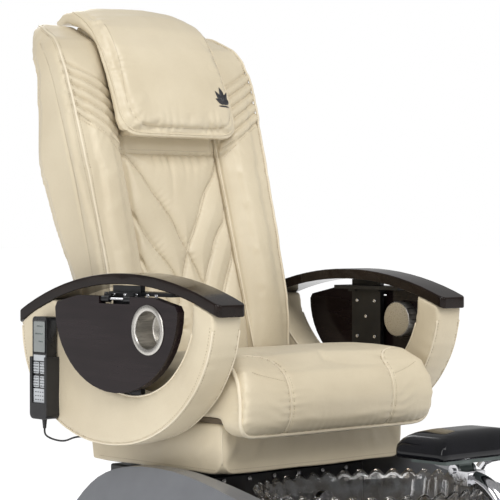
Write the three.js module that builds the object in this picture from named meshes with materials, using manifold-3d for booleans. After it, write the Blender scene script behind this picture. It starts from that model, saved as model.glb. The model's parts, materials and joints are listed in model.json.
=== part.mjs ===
// Pedicure spa chair: a reclining massage armchair on a wet base with a foot bowl and a footrest.
// Millimetres, +Z up, the sitter faces -Y and the sitter's right hand is at -X.
// The origin is on the floor, under the base pan, on the chair's centre plane.
import * as THREE from 'three';
import { mergeVertices } from 'three/addons/utils/BufferGeometryUtils.js';
import Module from 'manifold-3d';

const wasm = await Module();
wasm.setup();

// ---------------------------------------------------------------- driving dimensions
const gap = 0.3;                       // between pieces that touch

// widths across the chair: the seat and the back fit between the arms
const armHalfWidth = 356;
const armThick = 76;
const backHalfWidth = armHalfWidth - armThick - 10;
const cushionHalfWidth = armHalfWidth - armThick - 10;
const skirtHalfWidth = armHalfWidth - armThick - 20;
const frameHalfWidth = skirtHalfWidth - 42;

// base
const baseHalfWidth = armHalfWidth - 6;
const baseInnerHalf = skirtHalfWidth + 24;
const baseFrontY = -850;
const baseRearY = 212;
const panThick = 8;
const panelSkin = 8;
const deckTopZ = 270;
const deckThick = 8;
const deckRearY = -170;
const fenderPeakZ = 452;

// foot bowl
const bowlHalfWidth = 272;
const bowlHalfLength = 200;
const bowlCentreY = -405;
const bowlRimZ = 425;
const bowlWall = 9;
const drainRadius = 22;

// seat mechanism
const machineHalfWidth = 215;
const machineFrontY = -165;
const machineRearY = 170;
const machineTopZ = 430;
const railInnerX = 150;
const railWidth = 16;
const railHeight = 32;
const runnerWall = 7;

// seat
const skirtFrontY = -240;
const skirtRearY = 185;
const skirtBottomZ = 441;
const skirtTopZ = 545;
const skirtWall = 18;
const seatPanThick = 10;
const cushionFrontY = -325;
const cushionRearY = 96;
const cushionCrownZ = 677;
const cushionLipZ = 518;

// arms
const armFrontY = -322;
const armRearY = 302;
const armShoulderZ = 770;
const armBottomZ = 492;
const openingCentreY = -75;
const openingFront = 186;
const openingRear = 250;
const openingTopZ = 780;
const openingDepth = 182;
const openingFrontPower = 2;
const openingRearPower = 1.75;
const capPeakY = -45;
const capPeakZ = 842;
const capRadius = 760;
const capThick = 22;
const capFrontY = -335;
const capRearY = 308;

// side trays
const trayThick = 18;
const trayStandOff = 3;
const trayCentreY = -46;
const trayHalfLength = 195;
const trayTopZ = 796;
const trayShoulderZ = 770;
const trayBottomZ = 602;
const trayPinZ = 790;
const trayPinRadius = 3;
const lugOffset = 24;
const cupCentreY = -152;
const cupCentreZ = 732;
const cupRadius = 38.5;
const cupFlange = 49.5;
const cupDepth = 46;
const cupWall = 1.5;

// backrest, in its own leaning frame with the recline rod at the origin
const pivotY = 150;
const pivotZ = 590;
const backLean = 16;
const bolsterInnerX = 143;
const padHalfWidth = 141;
const channelOuterX = 138;
const coverSetIn = 30;
const channelWidth = 26;
const channelDepth = 16;
const channelTopH = 706;
const reclineRodRadius = 9;
const hingePlateX = frameHalfWidth - 2;
const hingePlateThick = 12;
const pillowHalfWidth = 165;
const carriageCentreH = 440;

// footrest
const postY = -745;
const postRadius = 16;
const footTiltY = -640;
const footTiltZ = 470;
const footPadHalfWidth = 125;
const footPadHalfDepth = 65;
const footPadBottomZ = 497;
const footPadTopZ = 551;

// hand remote
const remoteY = 190;
const remoteHalfWidth = 24.5;
const remoteThick = 26;
const remoteBottomZ = 548;
const remoteTopZ = 748;
const holsterWall = 3;
const holsterBottomZ = 534;
const holsterTopZ = 664;
const cordRadius = 2;

// ---------------------------------------------------------------- helpers
const rad = THREE.MathUtils.degToRad;

function finish(color, roughness, metalness = 0) {
  return new THREE.MeshStandardMaterial({ color, roughness, metalness });
}

const leather = () => finish(0xdfd1b5, 0.5);
const darkWood = () => finish(0x2a2022, 0.15);
const blackSteel = () => finish(0x17181b, 0.45, 0.5);
const blackPlastic = () => finish(0x1c1c1f, 0.5);
const greyShell = () => finish(0x7d8084, 0.35);
const chrome = () => finish(0xc8cacd, 0.15, 1);
const greyBracket = () => finish(0x5f6a68, 0.5, 0.4);

function outline(points) {
  return new THREE.Shape(points.map(([a, b]) => new THREE.Vector2(a, b)));
}

// a smooth closed outline: corners of the list are rounded by a spline
function smoothOutline(points, divisions) {
  const curve = new THREE.CatmullRomCurve3(points.map(([a, b]) => new THREE.Vector3(a, b, 0)), true, 'centripetal');
  return new THREE.Shape(curve.getPoints(divisions).slice(0, -1).map((p) => new THREE.Vector2(p.x, p.y)));
}

// a rectangle with round corners
function roundedRect(x0, x1, y0, y1, r) {
  const shape = new THREE.Shape();
  shape.moveTo(x0 + r, y0);
  shape.lineTo(x1 - r, y0);
  shape.absarc(x1 - r, y0 + r, r, -Math.PI / 2, 0);
  shape.lineTo(x1, y1 - r);
  shape.absarc(x1 - r, y1 - r, r, 0, Math.PI / 2);
  shape.lineTo(x0 + r, y1);
  shape.absarc(x0 + r, y1 - r, r, Math.PI / 2, Math.PI);
  shape.lineTo(x0, y0 + r);
  shape.absarc(x0 + r, y0 + r, r, Math.PI, Math.PI * 1.5);
  return shape;
}

function extrude(shape, depth, curveSegments = 4) {
  return new THREE.ExtrudeGeometry(shape, { depth, bevelEnabled: false, curveSegments });
}

// an outline drawn in (Y, Z), carried along X from x0 to x1
function alongX(shape, x0, x1, curveSegments) {
  const turn = new THREE.Matrix4().set(0, 0, 1, x0, 1, 0, 0, 0, 0, 1, 0, 0, 0, 0, 0, 1);
  return extrude(shape, x1 - x0, curveSegments).applyMatrix4(turn);
}

// an outline drawn in (X, Z), carried along Y from y0 to y1
function alongY(shape, y0, y1, curveSegments) {
  return extrude(shape, y1 - y0, curveSegments).rotateX(Math.PI / 2).translate(0, y1, 0);
}

// an outline drawn in (X, Y), carried along Z from z0 to z1
function alongZ(shape, z0, z1, curveSegments) {
  return extrude(shape, z1 - z0, curveSegments).translate(0, 0, z0);
}

function block(x0, x1, y0, y1, z0, z1) {
  const g = new THREE.BoxGeometry(x1 - x0, y1 - y0, z1 - z0);
  return g.translate((x0 + x1) / 2, (y0 + y1) / 2, (z0 + z1) / 2);
}

function rod(axis, from, to, centreA, centreB, radius, sides = 20) {
  const g = new THREE.CylinderGeometry(radius, radius, to - from, sides);
  const mid = (from + to) / 2;
  if (axis === 'x') return g.rotateZ(-Math.PI / 2).translate(mid, centreA, centreB);
  if (axis === 'y') return g.translate(centreA, mid, centreB);
  return g.rotateX(Math.PI / 2).translate(centreA, centreB, mid);
}

function solid(geometry) {
  const bare = new THREE.BufferGeometry();
  bare.setAttribute('position', geometry.attributes.position.clone());
  if (geometry.index) bare.setIndex(geometry.index.clone());
  const merged = mergeVertices(bare, 1e-4);
  return new wasm.Manifold(new wasm.Mesh({
    numProp: 3,
    vertProperties: new Float32Array(merged.attributes.position.array),
    triVerts: new Uint32Array(merged.index.array),
  }));
}

function geometryOf(manifold) {
  const mesh = manifold.getMesh();
  const g = new THREE.BufferGeometry();
  g.setAttribute('position', new THREE.BufferAttribute(new Float32Array(mesh.vertProperties), 3));
  g.setIndex(new THREE.BufferAttribute(new Uint32Array(mesh.triVerts), 1));
  return g;
}

function cut(body, ...tools) {
  return geometryOf(tools.reduce((whole, tool) => whole.subtract(solid(tool)), solid(body)));
}

function join(first, ...others) {
  return geometryOf(others.reduce((whole, other) => whole.add(solid(other)), solid(first)));
}

function common(first, ...others) {
  return geometryOf(others.reduce((whole, other) => whole.intersect(solid(other)), solid(first)));
}

function node(group, name, geometry, material) {
  const mesh = new THREE.Mesh(geometry, material);
  mesh.name = name;
  group.add(mesh);
}

const sides = [['right', -1], ['left', 1]];

// span between two distances from the centre plane, on one side of it
function span(side, near, far) {
  return side < 0 ? [-far, -near] : [near, far];
}

// ---------------------------------------------------------------- base
const fenderLine = [
  [baseFrontY, 60], [baseFrontY + 14, 200], [-800, 282], [-720, 322], [-600, 356], [-480, 388], [-367, 416],
  [-260, 438], [-160, fenderPeakZ - 1], [-60, fenderPeakZ], [0, 444], [47, 428], [90, 398], [130, 352],
  [170, 285], [196, 200], [baseRearY - 3, 110],
];

function fenderSide(inset, floorZ) {
  const middleY = (baseFrontY + baseRearY) / 2;
  const spline = new THREE.SplineCurve(fenderLine.map(([y, z]) => {
    const pull = Math.sign(y - middleY) * inset * Math.min(1, Math.abs(y - middleY) / 400);
    return new THREE.Vector2(y - pull, z - inset);
  }));
  const top = spline.getPoints(34);
  const rearPoint = new THREE.Vector2(baseRearY - inset, floorZ);
  const frontPoint = new THREE.Vector2(baseFrontY + inset, floorZ);
  return new THREE.Shape([frontPoint, rearPoint, ...top.reverse()]);
}

function fenderSection(side, inset, floorZ) {
  const inner = baseInnerHalf + inset;
  const outer = baseHalfWidth - inset;
  const topZ = fenderPeakZ + 20;
  const footRound = Math.min(42, outer - inner - 6);
  const topRound = Math.min(34, outer - inner - 6);
  const points = [
    [inner, floorZ], [outer - footRound, floorZ], [outer - 14, 110], [outer - 2, 220], [outer, 300],
    [outer - 4, 370], [outer - 14, 420], [outer - topRound, topZ - inset], [inner, topZ - inset],
  ];
  return outline(points.map(([x, z]) => [side * x, z]));
}

function planOutline(inset) {
  return roundedRect(-baseHalfWidth + inset, baseHalfWidth - inset, baseFrontY + inset, baseRearY - inset, 60);
}

function fender(side, inset, floorZ) {
  const [x0, x1] = span(side, baseInnerHalf + inset, baseHalfWidth);
  const profile = alongX(fenderSide(inset, floorZ), x0, x1);
  const section = alongY(fenderSection(side, inset, floorZ), baseFrontY - 1, baseRearY + 1);
  const plan = alongZ(planOutline(inset), floorZ, fenderPeakZ + 30);
  return common(profile, section, plan);
}

function makeBase(base) {
  const panTop = panThick + gap;
  const pan = alongZ(roundedRect(-baseInnerHalf, baseInnerHalf, baseFrontY + 14, baseRearY - 12, 40), 0, panThick);
  node(base, 'base_pan', pan, blackSteel());
  for (const [name, side] of sides) {
    const shell = cut(fender(side, 0, panTop), fender(side, panelSkin, panTop - 5));
    node(base, 'side_panel_' + name, shell, greyShell());
  }
  const insideHalf = baseInnerHalf - gap;
  const frontWall = block(-insideHalf, insideHalf, baseFrontY + 4, baseFrontY + 12, panTop, deckTopZ - 30);
  const frontLip = block(-insideHalf, insideHalf, baseFrontY + 4, baseFrontY + 38, deckTopZ - 36, deckTopZ - 28);
  node(base, 'front_panel', join(frontWall, frontLip), greyShell());
  const rear = block(-insideHalf, insideHalf, baseRearY - 10, baseRearY - 4, panTop, deckTopZ - 20);
  node(base, 'rear_panel', rear, blackPlastic());
  const deckFront = baseFrontY + 38 + gap;
  const deckPlate = block(-insideHalf, insideHalf, deckFront, deckRearY, deckTopZ - deckThick, deckTopZ);
  const deckApron = block(-insideHalf, insideHalf, deckFront, deckFront + deckThick, deckTopZ - 60, deckTopZ - 2);
  const drainHole = rod('z', deckTopZ - 20, deckTopZ + 5, 0, bowlCentreY, drainRadius + 8, 24);
  node(base, 'bowl_deck', cut(join(deckPlate, deckApron), drainHole), blackPlastic());
  const box = cut(
    block(-machineHalfWidth, machineHalfWidth, machineFrontY, machineRearY, panTop, machineTopZ),
    block(-machineHalfWidth + 5, machineHalfWidth - 5, machineFrontY + 5, machineRearY - 5, 0, machineTopZ - 5),
  );
  node(base, 'machine_box', box, blackPlastic());
  for (const [name, side] of sides) {
    const [x0, x1] = span(side, railInnerX, railInnerX + railWidth);
    const rail = block(x0, x1, machineFrontY + 15, machineRearY - 10, machineTopZ + gap, machineTopZ + railHeight);
    node(base, 'slide_rail_' + name, rail, chrome());
  }
}

// the bowl wall, as (radius, height) pairs: up the inside from the drain, over the rim and back underneath
function bowlProfile(floorZ) {
  const r = bowlHalfWidth;
  const h = bowlRimZ - floorZ;
  const inner = [
    [0, floorZ], [r * 0.55, floorZ], [r * 0.7, floorZ + h * 0.05], [r * 0.8, floorZ + h * 0.18],
    [r * 0.868, floorZ + h * 0.4], [r * 0.912, floorZ + h * 0.7], [r - 16, bowlRimZ - 7], [r - 8, bowlRimZ],
    [r, bowlRimZ - 3], [r, bowlRimZ - 11], [r - 8, bowlRimZ - 17],
  ];
  const outer = [
    [r * 0.912 + bowlWall, floorZ + h * 0.68], [r * 0.868 + bowlWall, floorZ + h * 0.37],
    [r * 0.8 + bowlWall, floorZ + h * 0.13], [r * 0.7 + 5, floorZ - 4], [r * 0.55, floorZ - bowlWall],
    [0, floorZ - bowlWall],
  ];
  return [...inner, ...outer].reverse().map(([a, b]) => new THREE.Vector2(a, b));
}

function ringAround(points, segments) {
  return new THREE.LatheGeometry(points.map(([a, b]) => new THREE.Vector2(a, b)), segments).rotateX(Math.PI / 2);
}

function makeBowl(base, stopperGroup) {
  const gasketHeight = 4;
  const floorZ = deckTopZ + gasketHeight + 2 * gap + bowlWall;
  const squash = bowlHalfLength / bowlHalfWidth;
  const bowl = new THREE.LatheGeometry(bowlProfile(floorZ), 36).rotateX(Math.PI / 2);
  bowl.scale(1, squash, 1).translate(0, bowlCentreY, 0);
  const drainHole = rod('z', floorZ - 20, floorZ + 5, 0, bowlCentreY, drainRadius, 28);
  node(base, 'glass_bowl', cut(bowl, drainHole), finish(0xbfc8cc, 0.05));
  const g0 = deckTopZ + gap;
  const ring = ringAround([[120, g0], [138, g0], [138, g0 + gasketHeight], [120, g0 + gasketHeight], [120, g0]], 32);
  ring.scale(1, squash, 1).translate(0, bowlCentreY, 0);
  node(base, 'bowl_gasket', geometryOf(solid(ring)), blackPlastic());
  const f = floorZ + gap;
  const tail = deckTopZ - 14;
  const flange = ringAround([
    [12, tail], [drainRadius - 1, tail], [drainRadius - 1, f], [32, f], [32, f + 3], [18, f + 3], [18, f - 2],
    [12, f - 2], [12, tail],
  ], 24);
  flange.translate(0, bowlCentreY, 0);
  node(base, 'drain_flange', geometryOf(solid(flange)), chrome());
  const s = f + 3.6;
  const stopper = ringAround([[0, s - 9], [9, s - 9], [9, s], [24, s], [24, s + 3], [14, s + 6], [0, s + 6]], 28);
  stopper.translate(0, bowlCentreY, 0);
  node(stopperGroup, 'drain_stopper', geometryOf(solid(stopper)), chrome());
  const jetZ = bowlRimZ - 55;
  const jetY = bowlCentreY + bowlHalfLength * 0.86 - 30;
  const jet = rod('y', jetY - 7, jetY + 7, 0, jetZ, 24, 24);
  node(base, 'jet_cap', jet, chrome());
}

function tube(points, radius, steps, section) {
  const path = new THREE.CatmullRomCurve3(points.map((p) => new THREE.Vector3(...p)), false, 'centripetal');
  const circle = new THREE.Shape();
  for (let i = 0; i < section; i += 1) {
    const t = (i / section) * Math.PI * 2;
    const x = radius * Math.cos(t);
    const y = radius * Math.sin(t);
    if (i === 0) circle.moveTo(x, y);
    else circle.lineTo(x, y);
  }
  return new THREE.ExtrudeGeometry(circle, { extrudePath: path, steps, bevelEnabled: false });
}

const spoutX = 238;
const spoutY = -600;

function makeSpout(base, leverGroup) {
  const riseZ = deckTopZ + gap;
  const pipe = tube([
    [spoutX, spoutY, riseZ], [spoutX, spoutY, 380], [spoutX, spoutY, 440], [spoutX - 8, spoutY + 12, 464],
    [spoutX - 30, spoutY + 38, 474], [spoutX - 52, spoutY + 62, 466], [spoutX - 60, spoutY + 72, 450],
  ], 9, 18, 10);
  const valveX = spoutX - 10;
  const valveY = spoutY - 75;
  const foot = alongZ(roundedRect(spoutX - 28, spoutX + 20, valveY - 24, spoutY + 20, 16), riseZ, riseZ + 8);
  const stem = rod('z', riseZ, riseZ + 60, valveX, valveY, 14, 20);
  node(base, 'filler_spout', join(pipe, foot, stem), chrome());
  const hub = rod('z', riseZ + 60 + gap, riseZ + 74, valveX, valveY, 15, 20);
  const arm = block(valveX - 6, valveX + 6, valveY - 50, valveY, riseZ + 64, riseZ + 72);
  node(leverGroup, 'valve_lever', join(hub, arm), chrome());
}

// ---------------------------------------------------------------- footrest
function makeFootrest(base, postGroup, knobGroup, headGroup) {
  const socketTop = deckTopZ + 78;
  const z0 = deckTopZ + gap;
  const socket = cut(
    join(rod('z', z0, socketTop, 0, postY, postRadius + 8, 24), rod('z', z0, z0 + 8, 0, postY, postRadius + 26, 24)),
    rod('z', z0 + 6, socketTop + 1, 0, postY, postRadius + 2 * gap, 24),
    rod('y', postY - postRadius - 20, postY, 0, socketTop - 22, 5 + gap, 16),
  );
  node(base, 'footrest_socket', socket, blackSteel());
  const headZ = footTiltZ - 14;
  const bar = tube([
    [0, postY, z0 + 8], [0, postY, z0 + 60], [0, postY, 370], [0, postY + 5, 403], [0, postY + 24, 433],
    [0, postY + 52, 450], [0, footTiltY - 26, headZ],
  ], postRadius, 16, 12);
  const headBlock = block(-26, 26, footTiltY - 36, footTiltY - 16, headZ - 12, headZ + 15);
  const ears = [-1, 1].map((s) => {
    const [x0, x1] = span(s, 19, 26);
    return join(
      rod('x', x0, x1, footTiltY, footTiltZ, 13, 20),
      block(x0, x1, footTiltY - 30, footTiltY, headZ - 12, headZ + 15),
    );
  });
  const pinHole = rod('x', -40, 40, footTiltY, footTiltZ, 5 + gap, 16);
  node(postGroup, 'footrest_arm', cut(join(bar, headBlock, ...ears), pinHole), chrome());
  const pinHead = rod('x', 26 + gap, 31, footTiltY, footTiltZ, 8, 16);
  node(postGroup, 'tilt_pin', join(rod('x', -31, 27, footTiltY, footTiltZ, 5, 16), pinHead), chrome());
  const knobY = postY - postRadius - 8 - gap;
  const knob = join(
    rod('y', knobY - 26, knobY - 4, 0, socketTop - 22, 17, 12),
    rod('y', knobY - 5, postY - postRadius - 1, 0, socketTop - 22, 5, 16),
  );
  node(knobGroup, 'clamp_knob', knob, blackPlastic());
  const hub = cut(
    join(
      rod('x', -18, 18, footTiltY, footTiltZ, 12, 20),
      block(-18, 18, footTiltY - 8, footTiltY + 8, footTiltZ, footPadBottomZ - 6),
      block(-95, 95, footTiltY - 45, footTiltY + 45, footPadBottomZ - 8, footPadBottomZ - gap),
    ),
    rod('x', -40, 40, footTiltY, footTiltZ, 5 + gap, 16),
  );
  node(headGroup, 'footrest_bracket', hub, greyBracket());
  const w = footPadHalfWidth;
  const d = footPadHalfDepth;
  const [b, t] = [footPadBottomZ, footPadTopZ];
  const front = smoothOutline([
    [-w + 4, b], [0, b], [w - 4, b], [w, b + 8], [w - 8, b + 34], [w - 30, t - 7], [w - 65, t - 1], [0, t],
    [-w + 65, t - 1], [-w + 30, t - 7], [-w + 8, b + 34], [-w, b + 8],
  ], 44);
  const side = smoothOutline([
    [-d + 4, b], [d - 4, b], [d, b + 10], [d - 8, t - 18], [d - 28, t - 2], [0, t + 1], [-d + 28, t - 2],
    [-d + 8, t - 18], [-d, b + 10],
  ].map(([y, z]) => [footTiltY + y, z]), 32);
  const pad = common(alongY(front, footTiltY - d - 2, footTiltY + d + 2), alongX(side, -w - 2, w + 2));
  node(headGroup, 'footrest_pad', common(pad, block(-w, w, footTiltY - d, footTiltY + d, b, t)), blackPlastic());
}

// ---------------------------------------------------------------- seat
function seatHingePlate(side) {
  const [x0, x1] = span(side, hingePlateX, hingePlateX + hingePlateThick);
  const web = outline([[104, 502], [146, 502], [152, 548], [168, 575], [150, 592], [128, 580], [104, 544]]);
  return join(alongX(web, x0, x1), rod('x', x0, x1, pivotY, pivotZ, 24, 24));
}

const frameBottomZ = 500;
const crossRearY = 60;
const actuatorZ = 532;
const actuatorRodRadius = 7.5;
const leverHalf = 6;
const bracketHalfLength = 60;
const bracketBottomZ = 512;
const bracketTopZ = 540;

function armBracket(side, clearance) {
  const [x0, x1] = span(side, hingePlateX - 4, armHalfWidth - armThick - gap + clearance);
  const y = bracketHalfLength + clearance;
  return block(x0, x1, -y, y, bracketBottomZ - clearance, bracketTopZ + clearance);
}

function makeSeatFrame(seat) {
  const top = skirtTopZ - gap;
  const parts = [
    block(-frameHalfWidth, frameHalfWidth, -216, -196, frameBottomZ, top),
    block(-frameHalfWidth, frameHalfWidth, crossRearY, crossRearY + 20, frameBottomZ, top),
  ];
  for (const [, side] of sides) {
    const [x0, x1] = span(side, frameHalfWidth - 18, frameHalfWidth);
    parts.push(block(x0, x1, -216, 130, frameBottomZ, top));
    const [r0, r1] = span(side, railInnerX - runnerWall, railInnerX + railWidth + runnerWall);
    const [c0, c1] = span(side, railInnerX - 2 * gap, railInnerX + railWidth + 2 * gap);
    parts.push(cut(
      block(r0, r1, -210, 128, skirtBottomZ, frameBottomZ + 5),
      block(c0, c1, -212, 132, skirtBottomZ - 40, machineTopZ + railHeight + 2 * gap),
    ));
    parts.push(armBracket(side, 0));
    parts.push(seatHingePlate(side));
  }
  const bore = rod('x', -skirtHalfWidth, skirtHalfWidth, pivotY, pivotZ, reclineRodRadius + gap, 24);
  const rodHole = rod('y', crossRearY - 5, crossRearY + 25, 0, actuatorZ, actuatorRodRadius + 2, 16);
  node(seat, 'seat_frame', cut(join(...parts), bore, rodHole), blackSteel());
  const end = hingePlateX + hingePlateThick + 6;
  node(seat, 'recline_rod', rod('x', -end, end, pivotY, pivotZ, reclineRodRadius, 24), chrome());
}

function makeSkirt(seat) {
  const w = skirtHalfWidth;
  const ring = alongZ(roundedRect(-w, w, skirtFrontY, skirtRearY, 14), skirtBottomZ, skirtTopZ);
  const t = skirtWall;
  const hollow = block(-w + t, w - t, skirtFrontY + t, skirtRearY - t, skirtBottomZ - 1, skirtTopZ + 1);
  const railRoom = sides.map(([, side]) => {
    const [x0, x1] = span(side, railInnerX - 8, railInnerX + railWidth + 8);
    return block(x0, x1, skirtRearY - t - 1, skirtRearY + 1, skirtBottomZ - 1, machineTopZ + railHeight + 8);
  });
  const skirt = cut(ring, hollow, armBracket(-1, 2 * gap), armBracket(1, 2 * gap), ...railRoom);
  node(seat, 'seat_skirt', skirt, leather());
}

function makeCushion(seat) {
  const panZ = skirtTopZ + gap;
  const pan = block(-skirtHalfWidth + 5, skirtHalfWidth - 5, skirtFrontY + 3, cushionRearY - 2, panZ, panZ + seatPanThick);
  node(seat, 'seat_pan', pan, finish(0xb89a6a, 0.7));
  const seatZ = panZ + seatPanThick + gap;
  const [f, k, l, r] = [cushionFrontY, cushionCrownZ, cushionLipZ, cushionRearY];
  const backOfLip = skirtFrontY - 5;
  const side = outline([
    [r, seatZ], [r, k - 34], [r - 16, k - 22], [r - 80, k - 14], [-80, k - 6], [-160, k], [-220, k - 1],
    [-266, k - 10], [f + 17, k - 32], [f + 4, k - 62], [f, k - 92], [f + 6, l + 30], [f + 20, l + 8],
    [f + 38, l], [f + 62, l], [backOfLip, l + 12], [backOfLip, seatZ],
  ]);
  const w = cushionHalfWidth;
  const front = outline([
    [-w, l + 26], [-w + 12, l + 6], [-w + 32, l - 2], [w - 32, l - 2], [w - 12, l + 6], [w, l + 26], [w, k - 58],
    [w - 10, k - 30], [w - 34, k - 10], [w - 76, k], [-w + 76, k], [-w + 34, k - 10], [-w + 10, k - 30], [-w, k - 58],
  ]);
  node(seat, 'seat_cushion', common(alongX(side, -w, w), alongY(front, f - 1, r + 1)), leather());
}

function makeActuator(seat, rodGroup) {
  const rearY = crossRearY - 12;
  const housing = join(
    block(-34, 34, -150, -40, frameBottomZ + 6, skirtTopZ - 1),
    rod('y', -50, rearY, 0, actuatorZ, 12, 20),
  );
  const barrel = rod('y', -30, rearY + 1, 0, actuatorZ, actuatorRodRadius + gap, 16);
  node(seat, 'actuator_housing', cut(housing, barrel), blackSteel());
  const drop = (pivotZ - actuatorZ) * Math.tan(rad(backLean));
  const leverFace = pivotY - drop - leverHalf / Math.cos(rad(backLean)) - 3;
  node(rodGroup, 'actuator_rod', rod('y', 0, leverFace, 0, actuatorZ, actuatorRodRadius, 16), chrome());
}

// ---------------------------------------------------------------- arms
// height of an arc about the cap's centre, at one place along the arm
function capArc(y, radius) {
  return capPeakZ - capRadius + Math.sqrt(radius * radius - (y - capPeakY) ** 2);
}

// the lower quarters of a rounded U, from one side to the other
function lowerCurve(centreY, topZ, front, frontPower, rear, rearPower, depth, steps) {
  const points = [];
  for (let i = 0; i <= steps; i += 1) {
    const t = (i / steps) * Math.PI;
    const [half, power] = t < Math.PI / 2 ? [-front, frontPower] : [rear, rearPower];
    const across = Math.abs(Math.cos(t)) ** (2 / power);
    const down = Math.sin(t) ** (2 / power);
    points.push([centreY + half * across, topZ - depth * down]);
  }
  return points;
}

function armOutline() {
  const underside = (y) => capArc(y, capRadius - capThick) - gap;
  const below = ([y, z]) => z < underside(y) - 1;
  const outside = lowerCurve(0, armShoulderZ, -armFrontY, 2, armRearY, 2.3, armShoulderZ - armBottomZ, 30);
  const inside = lowerCurve(openingCentreY, openingTopZ, openingFront, openingFrontPower, openingRear,
    openingRearPower, openingDepth, 24);
  const along = (from, to, steps) => {
    const line = [];
    for (let i = 0; i <= steps; i += 1) {
      const y = from + ((to - from) * i) / steps;
      line.push([y, underside(y)]);
    }
    return line;
  };
  return outline([
    ...along(openingCentreY - openingFront, armFrontY, 3),
    ...outside.filter(below),
    ...along(armRearY, openingCentreY + openingRear, 6),
    ...inside.reverse().filter(below),
  ]);
}

function capGeometry(side) {
  const top = [];
  const bottom = [];
  const steps = 20;
  for (let i = 0; i <= steps; i += 1) {
    const y = capFrontY + ((capRearY - capFrontY) * i) / steps;
    top.push([y, capArc(y, capRadius)]);
    bottom.push([y, capArc(y, capRadius - capThick)]);
  }
  const [x0, x1] = span(side, armHalfWidth - armThick, armHalfWidth);
  const profile = alongX(outline([...top, ...bottom.reverse()]), x0, x1);
  const plan = alongZ(roundedRect(x0, x1, capFrontY, capRearY, 12), 600, 900, 5);
  return common(profile, plan);
}

function makeArms(seat) {
  for (const [name, side] of sides) {
    const [x0, x1] = span(side, armHalfWidth - armThick, armHalfWidth);
    node(seat, 'arm_panel_' + name, alongX(armOutline(), x0, x1), leather());
    node(seat, 'arm_cap_' + name, capGeometry(side), darkWood());
    node(seat, 'tray_post_' + name, trayPost(side), blackSteel());
  }
}

const trayAxisX = armHalfWidth + trayStandOff + trayThick / 2;
const postFrontY = -97;
const postRearY = -9;
const lugHalfLength = 12;
const lugPlaces = [trayCentreY - lugOffset - lugHalfLength, trayCentreY + lugOffset + lugHalfLength];

// the floor of the arm's opening
function openingFloor(y) {
  const ahead = y < openingCentreY;
  const half = ahead ? openingFront : openingRear;
  const power = ahead ? openingFrontPower : openingRearPower;
  const across = Math.abs(y - openingCentreY) / half;
  return openingTopZ - openingDepth * (1 - across ** power) ** (1 / power);
}

function trayPost(side) {
  const upright = [];
  for (let i = 0; i <= 6; i += 1) {
    const y = postFrontY + ((postRearY - postFrontY) * i) / 6;
    upright.push([y, openingFloor(y) + 2 * gap]);
  }
  const topZ = capArc(postFrontY, capRadius - capThick) - 1;
  upright.push([postRearY, topZ], [postFrontY, topZ]);
  const [p0, p1] = span(side, armHalfWidth - 18, armHalfWidth - 6);
  const [b0, b1] = span(side, armHalfWidth - armThick + 16, armHalfWidth - 8);
  const plateTop = capArc(-190, capRadius - capThick) - 1;
  const parts = [
    alongX(outline(upright), p0, p1),
    block(b0, b1, -190, 6, plateTop - 8, plateTop),
  ];
  for (const y of lugPlaces) {
    const [w0, w1] = span(side, armHalfWidth - 20, trayAxisX);
    parts.push(block(w0, w1, y - lugHalfLength, y + lugHalfLength, trayPinZ, trayPinZ + 6));
    parts.push(block(...span(side, armHalfWidth - 20, armHalfWidth - 8), y - lugHalfLength, y + lugHalfLength,
      trayPinZ, plateTop));
    parts.push(rod('y', y - lugHalfLength, y + lugHalfLength, side * trayAxisX, trayPinZ, 6.5, 18));
  }
  const bore = rod('y', trayCentreY - 100, trayCentreY + 100, side * trayAxisX, trayPinZ, trayPinRadius + gap, 14);
  return cut(join(...parts), bore);
}

function makeTray(side, name, tray) {
  const centre = trayCentreY;
  const lower = lowerCurve(centre, trayShoulderZ, trayHalfLength, 2, trayHalfLength, 2,
    trayShoulderZ - trayBottomZ, 26);
  const shape = outline([
    ...lower, [centre + trayHalfLength - 7, trayTopZ - 15], [centre + trayHalfLength - 77, trayTopZ],
    [centre - trayHalfLength + 77, trayTopZ], [centre - trayHalfLength + 7, trayTopZ - 15],
  ]);
  const near = armHalfWidth + trayStandOff;
  const far = near + trayThick;
  const [x0, x1] = span(side, near, far);
  const slotHalf = lugOffset + 2 * lugHalfLength + 1;
  const [s0, s1] = span(side, near - 5, far + 5);
  const board = cut(
    alongX(shape, x0, x1),
    block(s0, s1, centre - slotHalf, centre + slotHalf, trayPinZ - 9, trayTopZ + 5),
    rod('y', centre - slotHalf - 24, centre + slotHalf + 24, side * trayAxisX, trayPinZ, trayPinRadius + gap, 14),
    rod('x', x0 - 5, x1 + 5, cupCentreY, cupCentreZ, cupRadius + gap, 32),
  );
  node(tray, 'tray_board_' + name, board, darkWood());
  const pinHalf = slotHalf + 22;
  const pin = rod('y', centre - pinHalf, centre + pinHalf, side * trayAxisX, trayPinZ, trayPinRadius, 14);
  node(tray, 'tray_pin_' + name, pin, chrome());
  const mouth = far + gap;
  const ring = [
    [0, mouth - cupDepth], [cupRadius, mouth - cupDepth], [cupRadius, mouth], [cupFlange, mouth],
    [cupFlange, mouth + 2], [cupRadius - 1, mouth + 3], [cupRadius - cupWall, mouth + 1],
    [cupRadius - cupWall, mouth - cupDepth + cupWall], [0, mouth - cupDepth + cupWall],
  ];
  const cup = ringAround(ring, 28).rotateY(side * Math.PI / 2).translate(0, cupCentreY, cupCentreZ);
  node(tray, 'tray_cup_' + name, geometryOf(solid(cup)), chrome());
}

// ---------------------------------------------------------------- backrest
// rear edge of the backrest's side, as (depth, height) from the recline rod
const backRear = [
  [20, 32], [26, 120], [37, 243], [50, 321], [62, 380], [70, 450], [72, 505], [68, 545], [49, 598], [33, 647],
  [21, 690], [21, 730], [27, 770], [26, 800], [20, 832],
];
const backFront = [
  [8, 828], [-32, 793], [-62, 768], [-78, 738], [-89, 680], [-94, 600], [-95, 460], [-94, 320], [-92, 238],
  [-88, 165], [-79, 115], [-62, 60], [-56, 36],
];

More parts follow.
